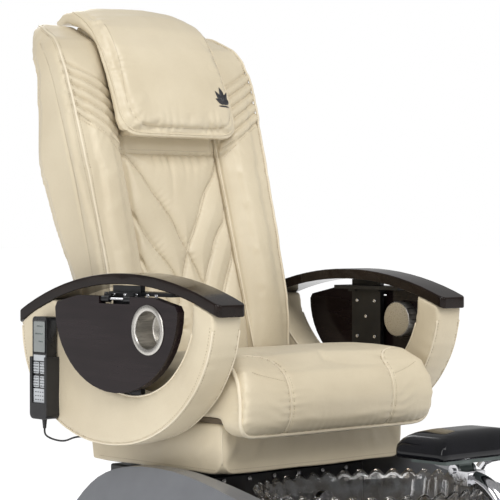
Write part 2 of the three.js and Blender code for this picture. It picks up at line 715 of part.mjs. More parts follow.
const rodBore = () => rod('x', -hingePlateX - 4, hingePlateX + 4, 0, 0, reclineRodRadius + gap, 24);

function makeBack(back) {
  const profile = outline([...backRear, ...backFront]);
  for (const [name, side] of sides) {
    const w = backHalfWidth;
    const section = outline([
      [bolsterInnerX, 20], [w - 14, 20], [w - 12, 300], [w, 640], [w, 750], [w - 14, 812], [w - 50, 836],
      [bolsterInnerX, 836],
    ].map(([x, z]) => [side * x, z]));
    const [x0, x1] = span(side, bolsterInnerX, w);
    node(back, 'back_bolster_' + name, common(alongX(profile, x0, x1), alongY(section, -120, 100)), leather());
  }
  const pad = outline([
    [-26, 40], [-26, 660], [-18, 720], [2, 790], [16, 812], [10, 826], [-26, 792], [-46, 745], [-58, 680],
    [-62, 560], [-62, 120], [-52, 56], [-44, 40],
  ]);
  node(back, 'back_center_pad', alongX(pad, -padHalfWidth, padHalfWidth), leather());
  const coverOut = backRear.map(([d, h]) => [d + 6, h]);
  const coverIn = backRear.map(([d, h]) => [d + 1, h]);
  const cover = outline([...coverIn.slice(0, -2), ...coverOut.slice(0, -2).reverse()]);
  node(back, 'back_cover', alongX(cover, -backHalfWidth + coverSetIn, backHalfWidth - coverSetIn), blackPlastic());
  const parts = [
    cut(block(-hingePlateX + 2, hingePlateX - 2, -16, 16, -15, 15), rodBore()),
    block(-channelOuterX, channelOuterX, -channelDepth, channelDepth - 2, channelTopH - 22, channelTopH),
    block(-channelOuterX, channelOuterX, -channelDepth, 4, 60, 84),
    cut(block(-8, 8, -leverHalf, leverHalf, -66, -8), rodBore()),
  ];
  for (const [, side] of sides) {
    const [x0, x1] = span(side, channelOuterX - channelWidth, channelOuterX);
    parts.push(cut(block(x0, x1, -channelDepth, channelDepth - 2, -14, channelTopH), rodBore()));
  }
  node(back, 'back_frame', join(...parts), blackSteel());
}

function makeMassage(carriage, armGroups) {
  const h = carriageCentreH;
  const half = channelOuterX - channelWidth - 6;
  const posts = sides.map(([, s]) => rod('y', 5, 14, s * 46, h, 7, 16));
  const body = join(block(-half, half, 12, 42, h - 35, h + 35), ...posts);
  node(carriage, 'massage_carriage', body, blackPlastic());
  for (const [name, side] of sides) {
    const x = side * 46;
    const balls = [-1, 1].map((s) => new THREE.SphereGeometry(15, 10, 7).translate(x, -8, h + s * 36));
    const link = block(x - 8, x + 8, -6, 5 - gap, h - 36, h + 36);
    node(armGroups[name], 'massage_arm_' + name, join(link, ...balls), blackPlastic());
  }
}

function makePillow(pillow) {
  const shell = outline([
    [-97, 548], [-118, 536], [-118, 600], [-108, 664], [-96, 730], [-76, 782], [-46, 826], [-12, 856],
    [16, 864], [40, 858], [46, 844], [26, 840], [4, 836], [-38, 800], [-68, 772], [-82, 742], [-93, 680], [-98, 600],
  ]);
  const filling = outline([[-66, 552], [-97, 545], [-99, 640], [-92, 690], [-74, 762], [-62, 756], [-64, 690]]);
  node(pillow, 'head_pillow', join(
    alongX(shell, -pillowHalfWidth, pillowHalfWidth),
    alongX(filling, -padHalfWidth + 6, padHalfWidth - 6),
  ), leather());
}

// ---------------------------------------------------------------- hand remote, on the right arm
const remoteBackX = -(armHalfWidth + gap + holsterWall + 1.5);
const remoteFrontX = remoteBackX - remoteThick;
const keyPlaces = [['recline', 11, 641], ['upright', -11, 641], ['forward', 11, 612], ['massage', -11, 612]];

function makeHolster(seat) {
  const backX = -(armHalfWidth + gap);
  const frontX = remoteFrontX - 1.5 - holsterWall;
  const half = remoteHalfWidth + 1.5 + holsterWall;
  const outer = common(
    block(frontX, backX, remoteY - half, remoteY + half, holsterBottomZ, holsterTopZ),
    alongX(roundedRect(remoteY - half, remoteY + half, holsterBottomZ, holsterTopZ + 20, 12), frontX, backX),
  );
  const inner = half - holsterWall;
  const pocket = block(frontX + holsterWall, backX - holsterWall, remoteY - inner, remoteY + inner,
    holsterBottomZ + holsterWall * 2, holsterTopZ + 1);
  const window = block(frontX - 1, frontX + holsterWall + 1, remoteY - inner + 5, remoteY + inner - 5,
    holsterBottomZ + 34, holsterTopZ + 1);
  const cordX = (remoteBackX + remoteFrontX) / 2;
  const outlet = rod('z', holsterBottomZ - 1, holsterBottomZ + 10, cordX, remoteY, 9, 20);
  node(seat, 'remote_holster', cut(outer, pocket, window, outlet), blackPlastic());
}

function makeRemote(remote, keyGroups) {
  const shape = roundedRect(remoteY - remoteHalfWidth, remoteY + remoteHalfWidth, remoteBottomZ, remoteTopZ, 9);
  const pocket = (dy, z) => block(remoteFrontX - 1, remoteFrontX + 3, remoteY + dy - 9.4, remoteY + dy + 9.4,
    z - 12.4, z + 12.4);
  const shell = alongX(shape, remoteFrontX, remoteBackX);
  node(remote, 'remote_case', cut(shell, ...keyPlaces.map(([, dy, z]) => pocket(dy, z))), blackPlastic());
  const screen = alongX(roundedRect(remoteY - 19, remoteY + 19, remoteTopZ - 74, remoteTopZ - 10, 3),
    remoteFrontX - 1.2, remoteFrontX - gap);
  node(remote, 'remote_screen', screen, finish(0x808486, 0.2));
  for (const [key, dy, z] of keyPlaces) {
    const cap = alongX(roundedRect(remoteY + dy - 9, remoteY + dy + 9, z - 12, z + 12, 3),
      remoteFrontX - 1, remoteFrontX + 1.2);
    node(keyGroups[key], 'key_' + key, cap, finish(0xafb2b6, 0.4));
  }
  const cordX = (remoteBackX + remoteFrontX) / 2;
  const relief = ringAround([
    [0, 514], [3.4, 514], [6.5, 543], [6.5, remoteBottomZ - gap], [0, remoteBottomZ - gap],
  ], 16).translate(cordX, remoteY, 0);
  node(remote, 'strain_relief', geometryOf(solid(relief)), blackPlastic());
}

const cordRoute = [
  [-373.8, 190, 513.7], [-373.8, 190, 508], [-373.7, 188.5, 503], [-373.2, 184.5, 499], [-372, 178, 496],
  [-370, 169, 493.3], [-367.5, 158, 491.3], [-364.5, 147, 490.4], [-361, 138, 491], [-357.5, 130.5, 493.2],
  [-353.5, 124.5, 496.3], [-348, 119.5, 498.6], [-340, 115, 499.6], [-329, 110.5, 499.6], [-316, 106, 499],
  [-301, 101.5, 498], [-286, 98, 497], [-277, 96.6, 496.6], [-268.6, 96, 496.5],
];
const grommetY = 96;
const grommetZ = 496.5;

function makeCord(seat) {
  node(seat, 'remote_cord', tube(cordRoute, cordRadius, 32, 8), blackPlastic());
  const x = -(skirtHalfWidth + gap);
  const hole = rod('x', x - 9, x - 5, grommetY, grommetZ, 3, 16);
  const grommet = cut(rod('x', x - 8, x, grommetY, grommetZ, 9, 20), hole);
  node(seat, 'cord_grommet', grommet, blackPlastic());
}

// ---------------------------------------------------------------- assembly
const chair = new THREE.Group();
const groupAt = (parent, x = 0, y = 0, z = 0) => {
  const g = new THREE.Group();
  g.position.set(x, y, z);
  parent.add(g);
  return g;
};
const base = groupAt(chair);
makeBase(base);
makeBowl(base, groupAt(base));
makeSpout(base, groupAt(base));
const footPost = groupAt(base);
makeFootrest(base, footPost, groupAt(base), groupAt(footPost));

const seat = groupAt(base);
makeSeatFrame(seat);
makeSkirt(seat);
makeCushion(seat);
makeActuator(seat, groupAt(seat));
makeArms(seat);
for (const [name, side] of sides) makeTray(side, name, groupAt(seat));
makeHolster(seat);
const keyGroups = {};
const remote = groupAt(seat);
for (const [key] of keyPlaces) keyGroups[key] = groupAt(remote);
makeRemote(remote, keyGroups);
makeCord(seat);

const back = groupAt(seat, 0, pivotY, pivotZ);
back.rotation.x = -rad(backLean);
makeBack(back);
const carriage = groupAt(back);
makeMassage(carriage, { left: groupAt(carriage), right: groupAt(carriage) });
makePillow(groupAt(back));

export default chair;
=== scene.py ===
import json
import math

import bmesh
import bpy
import numpy as np
from mathutils import Matrix, Vector
from mathutils.bvhtree import BVHTree

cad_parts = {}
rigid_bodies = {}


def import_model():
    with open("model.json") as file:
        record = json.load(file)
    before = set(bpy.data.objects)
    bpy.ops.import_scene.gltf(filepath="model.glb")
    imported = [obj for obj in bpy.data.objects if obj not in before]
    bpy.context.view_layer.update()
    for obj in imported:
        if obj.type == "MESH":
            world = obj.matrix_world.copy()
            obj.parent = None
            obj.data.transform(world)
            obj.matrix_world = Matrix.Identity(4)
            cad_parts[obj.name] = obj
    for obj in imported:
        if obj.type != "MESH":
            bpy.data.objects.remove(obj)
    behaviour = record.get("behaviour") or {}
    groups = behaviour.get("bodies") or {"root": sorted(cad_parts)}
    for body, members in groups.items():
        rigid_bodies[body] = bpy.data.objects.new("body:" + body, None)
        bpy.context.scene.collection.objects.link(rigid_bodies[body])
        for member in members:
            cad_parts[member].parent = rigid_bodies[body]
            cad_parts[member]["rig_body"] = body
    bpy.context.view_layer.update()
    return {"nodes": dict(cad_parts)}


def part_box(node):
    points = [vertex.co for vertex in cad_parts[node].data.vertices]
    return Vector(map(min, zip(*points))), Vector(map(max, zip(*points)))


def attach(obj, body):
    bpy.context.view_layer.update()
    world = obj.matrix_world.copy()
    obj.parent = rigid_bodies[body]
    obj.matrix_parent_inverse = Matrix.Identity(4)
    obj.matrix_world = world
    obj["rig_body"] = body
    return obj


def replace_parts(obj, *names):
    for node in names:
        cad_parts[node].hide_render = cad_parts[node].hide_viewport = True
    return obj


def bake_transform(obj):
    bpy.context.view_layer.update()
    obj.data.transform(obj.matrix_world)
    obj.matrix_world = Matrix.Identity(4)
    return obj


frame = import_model()

# The looks of a pedicure spa chair: leather covers, lacquered arm caps and trays, a hand remote,
# a glass foot bowl and a footrest. Metres, +Z up, the sitter faces -Y, the sitter's right is -X.
NODES = frame["nodes"]
scene = bpy.context.scene
MM = 0.001
ROD = np.array([0.0, 0.150, 0.590])
LEAN = math.radians(16)
REARWARD = np.array([0.0, math.cos(LEAN), -math.sin(LEAN)])
UPWARD = np.array([0.0, math.sin(LEAN), math.cos(LEAN)])
SIDES = (("right", -1), ("left", 1))


# ---------------------------------------------------------------- camera
def make_camera():
    data = bpy.data.cameras.new("camera")
    data.sensor_width = 36.0
    data.lens = 147.6
    camera = bpy.data.objects.new("camera", data)
    camera.location = (-2.9495, -3.2565, 0.9409)
    camera.rotation_euler = (math.radians(89.2734), 0.0, math.radians(-42.5))
    scene.collection.objects.link(camera)
    scene.camera = camera


# ---------------------------------------------------------------- finishes
class Finish:
    """A material under construction: short calls add its pattern, its sheen and its relief."""

    def __init__(self, name, color, rough, **sockets):
        self.material = bpy.data.materials.new(name)
        self.material.use_nodes = True
        self.tree = self.material.node_tree
        self.shader = self.tree.nodes["Principled BSDF"]
        self.shader.inputs["Base Color"].default_value = (*color, 1.0)
        self.shader.inputs["Roughness"].default_value = rough
        for key, value in sockets.items():
            self.shader.inputs[key.replace("_", " ")].default_value = value
        self.relief = None

    def add(self, kind, **values):
        made = self.tree.nodes.new("ShaderNode" + kind)
        for key, value in values.items():
            setattr(made, key, value)
        return made

    def join(self, a, b):
        self.tree.links.new(a, b)

    def place(self, stretch):
        coordinates = self.add("TexCoord")
        mapping = self.add("Mapping")
        mapping.inputs["Scale"].default_value = stretch
        self.join(coordinates.outputs["Object"], mapping.inputs["Vector"])
        return mapping.outputs["Vector"]

    def noise(self, scale, detail=3.0, stretch=(1, 1, 1)):
        made = self.add("TexNoise")
        made.inputs["Scale"].default_value = scale
        made.inputs["Detail"].default_value = detail
        self.join(self.place(stretch), made.inputs["Vector"])
        return made.outputs["Fac"]

    def cells(self, scale, feature="F1", stretch=(1, 1, 1)):
        made = self.add("TexVoronoi", feature=feature)
        made.inputs["Scale"].default_value = scale
        self.join(self.place(stretch), made.inputs["Vector"])
        return made.outputs["Distance"]

    def remap(self, value, low, high, to_low, to_high):
        made = self.add("MapRange")
        for key, number in (("From Min", low), ("From Max", high), ("To Min", to_low), ("To Max", to_high)):
            made.inputs[key].default_value = number
        self.join(value, made.inputs["Value"])
        return made.outputs["Result"]

    def tint(self, value, dark, pale):
        """colour runs from dark to pale with value"""
        ramp = self.add("ValToRGB")
        ramp.color_ramp.elements[0].color = (*dark, 1.0)
        ramp.color_ramp.elements[1].color = (*pale, 1.0)
        self.join(value, ramp.inputs["Fac"])
        return ramp.outputs["Color"]

    def blend_in(self, first, second, share, mode="MULTIPLY"):
        mix = self.add("Mix", data_type="RGBA", blend_type=mode)
        mix.inputs["Factor"].default_value = share
        self.join(first, mix.inputs["A"])
        self.join(second, mix.inputs["B"])
        return mix.outputs["Result"]

    def paint(self, color):
        self.join(color, self.shader.inputs["Base Color"])

    def polish(self, value):
        self.join(value, self.shader.inputs["Roughness"])

    def bump(self, height, strength, distance):
        made = self.add("Bump")
        made.inputs["Strength"].default_value = strength
        made.inputs["Distance"].default_value = distance
        self.join(height, made.inputs["Height"])
        if self.relief is not None:
            self.join(self.relief, made.inputs["Normal"])
        self.relief = made.outputs["Normal"]
        self.join(self.relief, self.shader.inputs["Normal"])


def leather(name, dark, pale, rough=0.42):
    """dyed upholstery leather: a fine pebbled grain, soft clouds of colour and worn, smoother patches"""
    f = Finish(name, pale, rough, Specular_IOR_Level=0.42, Sheen_Weight=0.12, Sheen_Roughness=0.5)
    clouds = f.noise(5.0, 4.0)
    grain = f.cells(620.0, "DISTANCE_TO_EDGE")
    creases = f.noise(70.0, 5.0)
    base = f.tint(f.remap(clouds, 0.35, 0.65, 0.0, 1.0), dark, pale)
    pores = f.tint(f.remap(grain, 0.0, 0.12, 0.0, 1.0), (0.86, 0.84, 0.80), (1.0, 1.0, 1.0))
    f.paint(f.blend_in(base, pores, 0.6))
    f.polish(f.remap(f.noise(18.0, 3.0), 0.3, 0.7, rough - 0.07, rough + 0.09))
    f.bump(f.noise(26.0, 3.0), 0.22, 0.004)
    f.bump(creases, 0.16, 0.0012)
    f.bump(grain, 0.30, 0.00035)
    return f.material


def lacquer(name, dark, pale, rough=0.14):
    """dark stained wood under thick gloss lacquer"""
    f = Finish(name, pale, rough, Coat_Weight=0.12, Coat_Roughness=0.03, Specular_IOR_Level=0.16)
    grain = f.noise(60.0, 6.0, (1.0, 0.08, 1.0))
    f.paint(f.tint(f.remap(grain, 0.3, 0.7, 0.0, 1.0), dark, pale))
    f.polish(f.remap(f.noise(9.0, 2.0), 0.3, 0.7, rough - 0.03, rough + 0.06))
    f.bump(grain, 0.05, 0.0004)
    f.bump(f.noise(14.0, 2.0), 0.05, 0.003)
    return f.material


def painted(name, dark, pale, rough, metal=0.0, texture=380.0, strength=0.2, spread=0.08, shine=0.5):
    """powder coat or moulded plastic: a fine even texture and faint handling marks"""
    f = Finish(name, pale, rough, Metallic=metal, Specular_IOR_Level=shine)
    f.paint(f.tint(f.remap(f.noise(22.0, 5.0), 0.3, 0.7, 0.0, 1.0), dark, pale))
    f.polish(f.remap(f.noise(35.0, 4.0), 0.3, 0.7, max(rough - spread, 0.04), rough + spread))
    f.bump(f.noise(texture, 3.0), strength, 0.0003)
    return f.material


def metal(name, dark, pale, rough, stretch=(1, 1, 1), scratch=240.0, strength=0.12):
    """bright metal with a drawn or polished grain along the axis that stretch leaves long"""
    f = Finish(name, pale, rough, Metallic=1.0)
    lines = f.noise(scratch, 5.0, stretch)
    f.paint(f.tint(f.remap(lines, 0.3, 0.7, 0.0, 1.0), dark, pale))
    f.polish(f.remap(lines, 0.3, 0.7, max(rough - 0.06, 0.03), rough + 0.1))
    f.bump(lines, strength, 0.0002)
    return f.material


def clear_glass(name):
    f = Finish(name, (0.86, 0.9, 0.93), 0.04, Transmission_Weight=0.97, IOR=1.5, Specular_IOR_Level=0.7)
    f.paint(f.tint(f.remap(f.noise(30.0, 3.0), 0.35, 0.65, 0.0, 1.0), (0.60, 0.54, 0.47), (0.95, 0.96, 0.97)))
    f.polish(f.remap(f.noise(24.0, 2.0), 0.3, 0.7, 0.01, 0.04))
    f.bump(f.noise(45.0, 2.0), 0.08, 0.002)
    return f.material


CREAM_DARK, CREAM_PALE = (0.575, 0.495, 0.355), (0.645, 0.565, 0.415)
LEATHER = leather("cream_leather", CREAM_DARK, CREAM_PALE)
PILLOW = leather("pillow_leather", (0.60, 0.52, 0.375), (0.67, 0.59, 0.44), 0.40)
# welt leather paler than the cover leather: a painted highlight, so the piping reads as a light cord along each edge
WELT_HIGHLIGHT = leather("welt_leather_painted_highlight", (0.64, 0.56, 0.42), (0.74, 0.66, 0.51), 0.36)
THREAD = painted("thread", (0.22, 0.165, 0.10), (0.31, 0.24, 0.15), 0.7, 0.0, 2200.0, 0.5)
ESPRESSO = lacquer("espresso_lacquer", (0.008, 0.0045, 0.005), (0.016, 0.010, 0.011))
CAP_LACQUER = lacquer("cap_lacquer", (0.007, 0.004, 0.003), (0.014, 0.008, 0.006), 0.10)
# plywood darker than its own colour: painted shadow, so the seat pan's strip under the cushion reads as the shade
# there
PLY_SHADOW_DARK = painted("plywood", (0.10, 0.075, 0.048), (0.15, 0.115, 0.075), 0.7, 0.0, 90.0, 0.4)
STEEL_BLACK = painted("black_steel", (0.006, 0.006, 0.007), (0.014, 0.014, 0.016), 0.38, 0.3)
PLASTIC = painted("black_plastic", (0.007, 0.007, 0.008), (0.013, 0.013, 0.014), 0.42)
REMOTE_BLACK = painted("remote_black", (0.006, 0.006, 0.007), (0.011, 0.011, 0.012), 0.28, 0.0, 900.0, 0.12)
FOOT_GLOSS = painted("foot_cushion", (0.003, 0.003, 0.004), (0.006, 0.006, 0.008), 0.11, 0.0, 900.0, 0.02,
                     0.015, 0.3)
SHELL = painted("grey_shell", (0.150, 0.155, 0.166), (0.165, 0.170, 0.182), 0.20, 0.0, 420.0, 0.02, 0.02)
CHROME = metal("chrome", (0.55, 0.55, 0.57), (0.72, 0.72, 0.74), 0.10)
CUP = metal("cup_steel", (0.42, 0.40, 0.37), (0.62, 0.60, 0.56), 0.30, (0.05, 1, 1), 420.0, 0.3)
BRACKET = painted("bracket_metal", (0.10, 0.125, 0.12), (0.16, 0.19, 0.18), 0.45, 0.4)
GLASS = clear_glass("bowl_glass")
LCD = painted("lcd", (0.19, 0.205, 0.20), (0.235, 0.25, 0.245), 0.14, 0.0, 600.0, 0.03)
KEYPAD = painted("keypad", (0.40, 0.42, 0.44), (0.47, 0.49, 0.51), 0.4, 0.0, 800.0, 0.15)
INK = painted("ink", (0.015, 0.015, 0.018), (0.03, 0.03, 0.034), 0.45, 0.0, 900.0, 0.15)
RUBBER = painted("seal_rubber", (0.010, 0.010, 0.010), (0.020, 0.020, 0.020), 0.55)


# ---------------------------------------------------------------- workshop
def piece(bm, name, material, body=None, smooth=True):
    """turns a bmesh into a finished piece that rides on a body"""
    mesh = bpy.data.meshes.new(name)
    bm.to_mesh(mesh)
    bm.free()
    return furnish(bpy.data.objects.new(name, mesh), material, body, smooth)


def furnish(ob, material, body=None, smooth=True):
    if ob.name not in scene.collection.objects:
        scene.collection.objects.link(ob)
    ob.data.materials.clear()
    ob.data.materials.append(material)
    ob.data.polygons.foreach_set("use_smooth", [smooth] * len(ob.data.polygons))
    if body:
        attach(ob, body)
    return ob


def settle(ob):
    """applies every modifier"""
    graph = bpy.context.evaluated_depsgraph_get()
    mesh = bpy.data.meshes.new_from_object(ob.evaluated_get(graph))
    ob.modifiers.clear()
    ob.data = mesh
    return ob


def merged(node):
    bm = bmesh.new()
    bm.from_mesh(NODES[node].data)
    bmesh.ops.remove_doubles(bm, verts=bm.verts, dist=2e-6)
    return bm


def weighted(ob):
    ob.modifiers.new("even_shading", "WEIGHTED_NORMAL").keep_sharp = True
    return ob


def eased(node, material, width, segments=2, crease=35, name=None):
    """the node's own shape with its sharp edges broken, in place of the node"""
    bm = merged(node)
    bmesh.ops.dissolve_limit(bm, angle_limit=math.radians(0.8), verts=bm.verts, edges=bm.edges)
    limit = math.radians(crease)
    sharp = [e for e in bm.edges if e.is_manifold and e.calc_face_angle(0.0) > limit]
    bmesh.ops.bevel(bm, geom=sharp, offset=width, offset_type="OFFSET", segments=segments, profile=0.5,
                    affect="EDGES", clamp_overlap=True, material=-1)
    bmesh.ops.triangulate(bm, faces=bm.faces)
    ob = piece(bm, name or node + "_finished", material, NODES[node]["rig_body"])
    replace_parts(ob, node)
    return weighted(ob)


def vectors(mesh, key="co"):
    """every vertex's place, or its normal, one row each"""
    flat = np.empty(len(mesh.vertices) * 3)
    mesh.vertices.foreach_get(key, flat)
    return flat.reshape(-1, 3)


def reshape_to(ob, points):
    ob.data.vertices.foreach_set("co", points.ravel())
    ob.data.update()


def block_at(bm, spot, size):
    bmesh.ops.create_cube(bm, size=1.0, matrix=Matrix.Translation(spot) @ Matrix.Diagonal((*size, 1)))


def flow(points, step):
    """a smooth line through a few points, with a point every step"""
    p = np.array(points, float)
    ghost = np.vstack([2 * p[0] - p[1], p, 2 * p[-1] - p[-2]])
    t = np.linspace(0, 1, 24, endpoint=False)[:, None]
    runs = []
    for i in range(len(p) - 1):
        a, b, c, d = ghost[i:i + 4]
        runs.append(0.5 * (2 * b + (c - a) * t + (2 * a - 5 * b + 4 * c - d) * t**2
                           + (3 * b - a - 3 * c + d) * t**3))
    dense = np.vstack([*runs, p[-1:]])
    run = np.concatenate([[0], np.cumsum(np.linalg.norm(np.diff(dense, axis=0), axis=1))])
    at = np.linspace(0, run[-1], max(2, int(round(run[-1] / step)) + 1))
    return np.column_stack([np.interp(at, run, dense[:, k]) for k in range(p.shape[1])])


def from_line(points, line, reach):
    """each point's distance from a line, and how far along it the nearest place is"""
    near, along = np.full(len(points), 9.0), np.zeros(len(points))
    inside = np.all((points > line.min(0) - reach) & (points < line.max(0) + reach), axis=1)
    some = points[inside]
    near_some, along_some, run = np.full(len(some), 9.0), np.zeros(len(some)), 0.0
    for a, b in zip(line[:-1], line[1:]):
        ab = b - a
        size = max(float(np.linalg.norm(ab)), 1e-9)
        t = np.clip(((some - a) @ ab) / size**2, 0, 1)
        gap = np.linalg.norm(some - a - t[:, None] * ab, axis=1)
        closer = gap < near_some
        near_some[closer] = gap[closer]
        along_some[closer] = run + t[closer] * size
        run += size
    near[inside], along[inside] = near_some, along_some
    return near, along


def ramp(value, low, high):
    t = np.clip((value - low) / (high - low), 0, 1)
    return t * t * (3 - 2 * t)


def ripple(points, lengths, phase=0.0):
    """a gentle irregular swell over the surface, between -1 and 1"""
    total = np.zeros(len(points))
    for i, size in enumerate(lengths):
        way = np.array([math.sin(2.3 * i + phase), math.cos(1.7 * i + 1 + phase),
                        math.sin(1.1 * i + 2 + phase)])
        total += np.sin(points @ (way / np.linalg.norm(way)) * 2 * math.pi / size + 1.9 * i + phase)
    return total / len(lengths)


def blank(node, name, voxel, ease):
    """a merged, evenly meshed copy of a soft node, its corners eased"""
    mesh = bpy.data.meshes.new(name)
    bm = merged(node)
    bm.to_mesh(mesh)
    bm.free()
    ob = bpy.data.objects.new(name, mesh)
    scene.collection.objects.link(ob)
    even = ob.modifiers.new("even", "REMESH")
    even.mode = "VOXEL"
    even.voxel_size = voxel
    soft = ob.modifiers.new("ease", "SMOOTH")
    soft.factor = 0.5
    soft.iterations = ease
    return settle(ob)


SETTLE_FRAMES = 20     # steps of a cover's cloth run
SLIDE_SHARE = 0.25     # how much of the cloth's sideways travel a cover keeps


def swell(ob, pressure, cap, start_in):
    """foam pushes the cover out: a cloth run under pressure, no point moving further than cap"""
    normals = vectors(ob.data, "normal")
    rest = vectors(ob.data) - normals * start_in
    reshape_to(ob, rest)
    cover = ob.modifiers.new("cover", "CLOTH")
    cloth = cover.settings
    cloth.quality = 4
    cloth.mass = 0.3
    cloth.tension_stiffness = cloth.compression_stiffness = 14
    cloth.bending_stiffness = 1.2
    cloth.use_pressure = True
    cloth.uniform_pressure_force = pressure
    cloth.effector_weights.gravity = 0
    cover.point_cache.frame_start, cover.point_cache.frame_end = 1, SETTLE_FRAMES
    for step in range(1, SETTLE_FRAMES + 1):
        scene.frame_set(step)
    graph = bpy.context.evaluated_depsgraph_get()
    swollen = bpy.data.meshes.new_from_object(ob.evaluated_get(graph))
    move = vectors(swollen) - rest
    ob.modifiers.clear()
    bpy.data.meshes.remove(swollen)
    scene.frame_set(1)
    outward = np.sum(move * normals, axis=1)[:, None]
    along = move - normals * outward
    move = normals * np.maximum(outward, 0.0) + SLIDE_SHARE * along
    far = np.linalg.norm(move, axis=1)
    move *= (np.minimum(far, cap) / np.maximum(far, 1e-9))[:, None]
    reshape_to(ob, rest + move)
    return ob


def refine(ob):
    sub = ob.modifiers.new("finer", "SUBSURF")
    sub.levels = sub.render_levels = 1
    return settle(ob)


class Cover:
    """A padded cover, worked point by point out or in along its own normals."""

    def __init__(self, ob):
        self.ob = ob
        self.co = vectors(ob.data)
        self.normal = vectors(ob.data, "normal")
        rel = self.co - ROD
        self.x, self.d, self.h = self.co[:, 0], rel @ REARWARD, rel @ UPWARD
        self.face = np.column_stack([self.x, self.h])
        self.front = ramp(-(self.normal @ REARWARD), 0.25, 0.75)

    def refresh(self):
        """the cover as it stands now, with new normals"""
        reshape_to(self.ob, self.co)
        return Cover(self.ob)

    def move(self, amount):
        self.co = self.co + self.normal * amount[:, None]

    def seam(self, points, line, depth, width, where=1.0):
        """a sewn line: a narrow valley with soft shoulders"""
        near, _ = from_line(points, line, 4 * width)
        self.move(-depth * np.exp(-(near / width) ** 2) * where)

    def gathers(self, points, line, height, spacing, reach, where=1.0, phase=0.0):
        """short puckers across a seam, where the thread draws the leather in"""
        near, along = from_line(points, line, 3 * reach)
        beat = np.sin(2 * math.pi * along / spacing + 1.3 * np.sin(along * 37 + phase) + phase)
        uneven = 0.6 + 0.4 * np.sin(along * 53 + 2 * phase)
        self.move(height * beat * uneven * np.exp(-near / reach) * where)

    def crease(self, points, line, height, width, where=1.0):
        """one long soft fold that fades out at both ends"""
        near, along = from_line(points, line, 4 * width)
        total = max(float(np.linalg.norm(np.diff(line, axis=0), axis=1).sum()), 1e-9)
        fade = np.sin(math.pi * np.clip(along / total, 0, 1))
        self.move(height * np.exp(-(near / width) ** 2) * fade * where)

    def folds(self, pairs, side, height, fade, width):
        """straight creases between pairs of ends, each lower than the one before"""
        for k, ends in enumerate(pairs):
            line = flow(mirrored(millimetres(ends), side), 0.006)
            self.crease(self.co, line, height - fade * k, width)

    def done(self, material, body, slot, node, fill):
        reshape_to(self.ob, self.co)
        furnish(self.ob, material, body)
        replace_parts(self.ob, node)
        self.tree = BVHTree.FromPolygons([tuple(c) for c in self.co],
                                         [tuple(p.vertices) for p in self.ob.data.polygons])
        return self


def on_cover(cover, line, lift, smooth=4):
    """a line laid down on a cover's surface, and the surface's normals along it"""
    laid, normals = [], []
    for p in line:
        spot, normal, _, _ = cover.tree.find_nearest(Vector(p))
        laid.append(np.array(spot) + np.array(normal) * lift)
        normals.append(np.array(normal))
    laid, normals = np.array(laid), np.array(normals)
    for _ in range(smooth):
        laid[1:-1] = (laid[:-2] + 2 * laid[1:-1] + laid[2:]) / 4
        normals[1:-1] = (normals[:-2] + 2 * normals[1:-1] + normals[2:]) / 4
    return laid, normals / np.linalg.norm(normals, axis=1)[:, None]


def tube(name, line, radius, material, body, sides=4):
    """a round cord along a line, closed at both ends"""
    curve = bpy.data.curves.new(name, "CURVE")
    curve.dimensions = "3D"
    curve.bevel_depth = radius
    curve.bevel_resolution = sides - 2
    curve.use_fill_caps = True
    run = curve.splines.new("POLY")
    run.points.add(len(line) - 1)
    for point, p in zip(run.points, line):
        point.co = (*p, 1.0)
    holder = bpy.data.objects.new(name + "_line", curve)
    scene.collection.objects.link(holder)
    graph = bpy.context.evaluated_depsgraph_get()
    mesh = bpy.data.meshes.new_from_object(holder.evaluated_get(graph))
    bpy.data.objects.remove(holder)
    bm = bmesh.new()
    bm.from_mesh(mesh)
    bmesh.ops.remove_doubles(bm, verts=bm.verts, dist=1e-6)
    bmesh.ops.recalc_face_normals(bm, faces=bm.faces)
    bpy.data.meshes.remove(mesh)
    return piece(bm, name, material, body)


def welt(name, cover, line, radius, body, lift=0.0, step=0.005, material=None):
    """a piped edge sewn along a cover, by default in the paler welt leather that paints a highlight along the cord
    """
    laid, _ = on_cover(cover, flow(line, step), lift)
    return tube(name, laid, radius, material or WELT_HIGHLIGHT, body)


def stitches(name, cover, lines, body, aside=0.0, spacing=0.0055):
    """rows of thread stitches along lines on a cover, aside by that much"""
    bm = bmesh.new()
    for line in lines:
        laid, normals = on_cover(cover, flow(line, spacing), 0.0)
        ahead = np.gradient(laid, axis=0)
        ahead /= np.maximum(np.linalg.norm(ahead, axis=1), 1e-9)[:, None]
        across = np.cross(normals, ahead)
        for spot, normal, way, side in zip(laid, normals, ahead, across):
            place = Matrix((Vector(way), Vector(side), Vector(normal))).transposed().to_4x4()
            place.translation = Vector(spot + side * aside + normal * 0.0002)
            bmesh.ops.create_uvsphere(bm, u_segments=6, v_segments=3, radius=1.0,
                                      matrix=place @ Matrix.Diagonal((0.0018, 0.00055, 0.00045, 1)))
    return piece(bm, name, THREAD, body)


def back_point(x, d, h):
    """a point of the backrest from its own distances, in millimetres"""
    return np.array([x * MM, 0, 0]) + ROD + d * MM * REARWARD + h * MM * UPWARD


def millimetres(points):
    return np.array(points, float) * MM


# ---------------------------------------------------------------- remote cord
CORD_ROUTE = millimetres([
    (-373.8, 190, 513.7), (-373.8, 190, 508), (-373.7, 188.5, 503), (-373.2, 184.5, 499), (-372, 178, 496),
    (-370, 169, 493.3), (-367.5, 158, 491.3), (-364.5, 147, 490.4), (-361, 138, 491), (-357.5, 130.5, 493.2),
    (-353.5, 124.5, 496.3), (-348, 119.5, 498.6), (-340, 115, 499.6), (-329, 110.5, 499.6), (-316, 106, 499),
    (-301, 101.5, 498), (-286, 98, 497), (-277, 96.6, 496.6), (-268.6, 96, 496.5),
])


def make_cord():
    line = flow(CORD_ROUTE, 0.004)
    cord = tube("remote_cable", line, 0.002, RUBBER, None, 5)
    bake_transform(cord)
    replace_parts(cord, "remote_cord")


# ---------------------------------------------------------------- seat
def mirrored(points, side):
    """a line given for the left side, carried to either side"""
    return np.array(points, float) * (side, 1, 1)


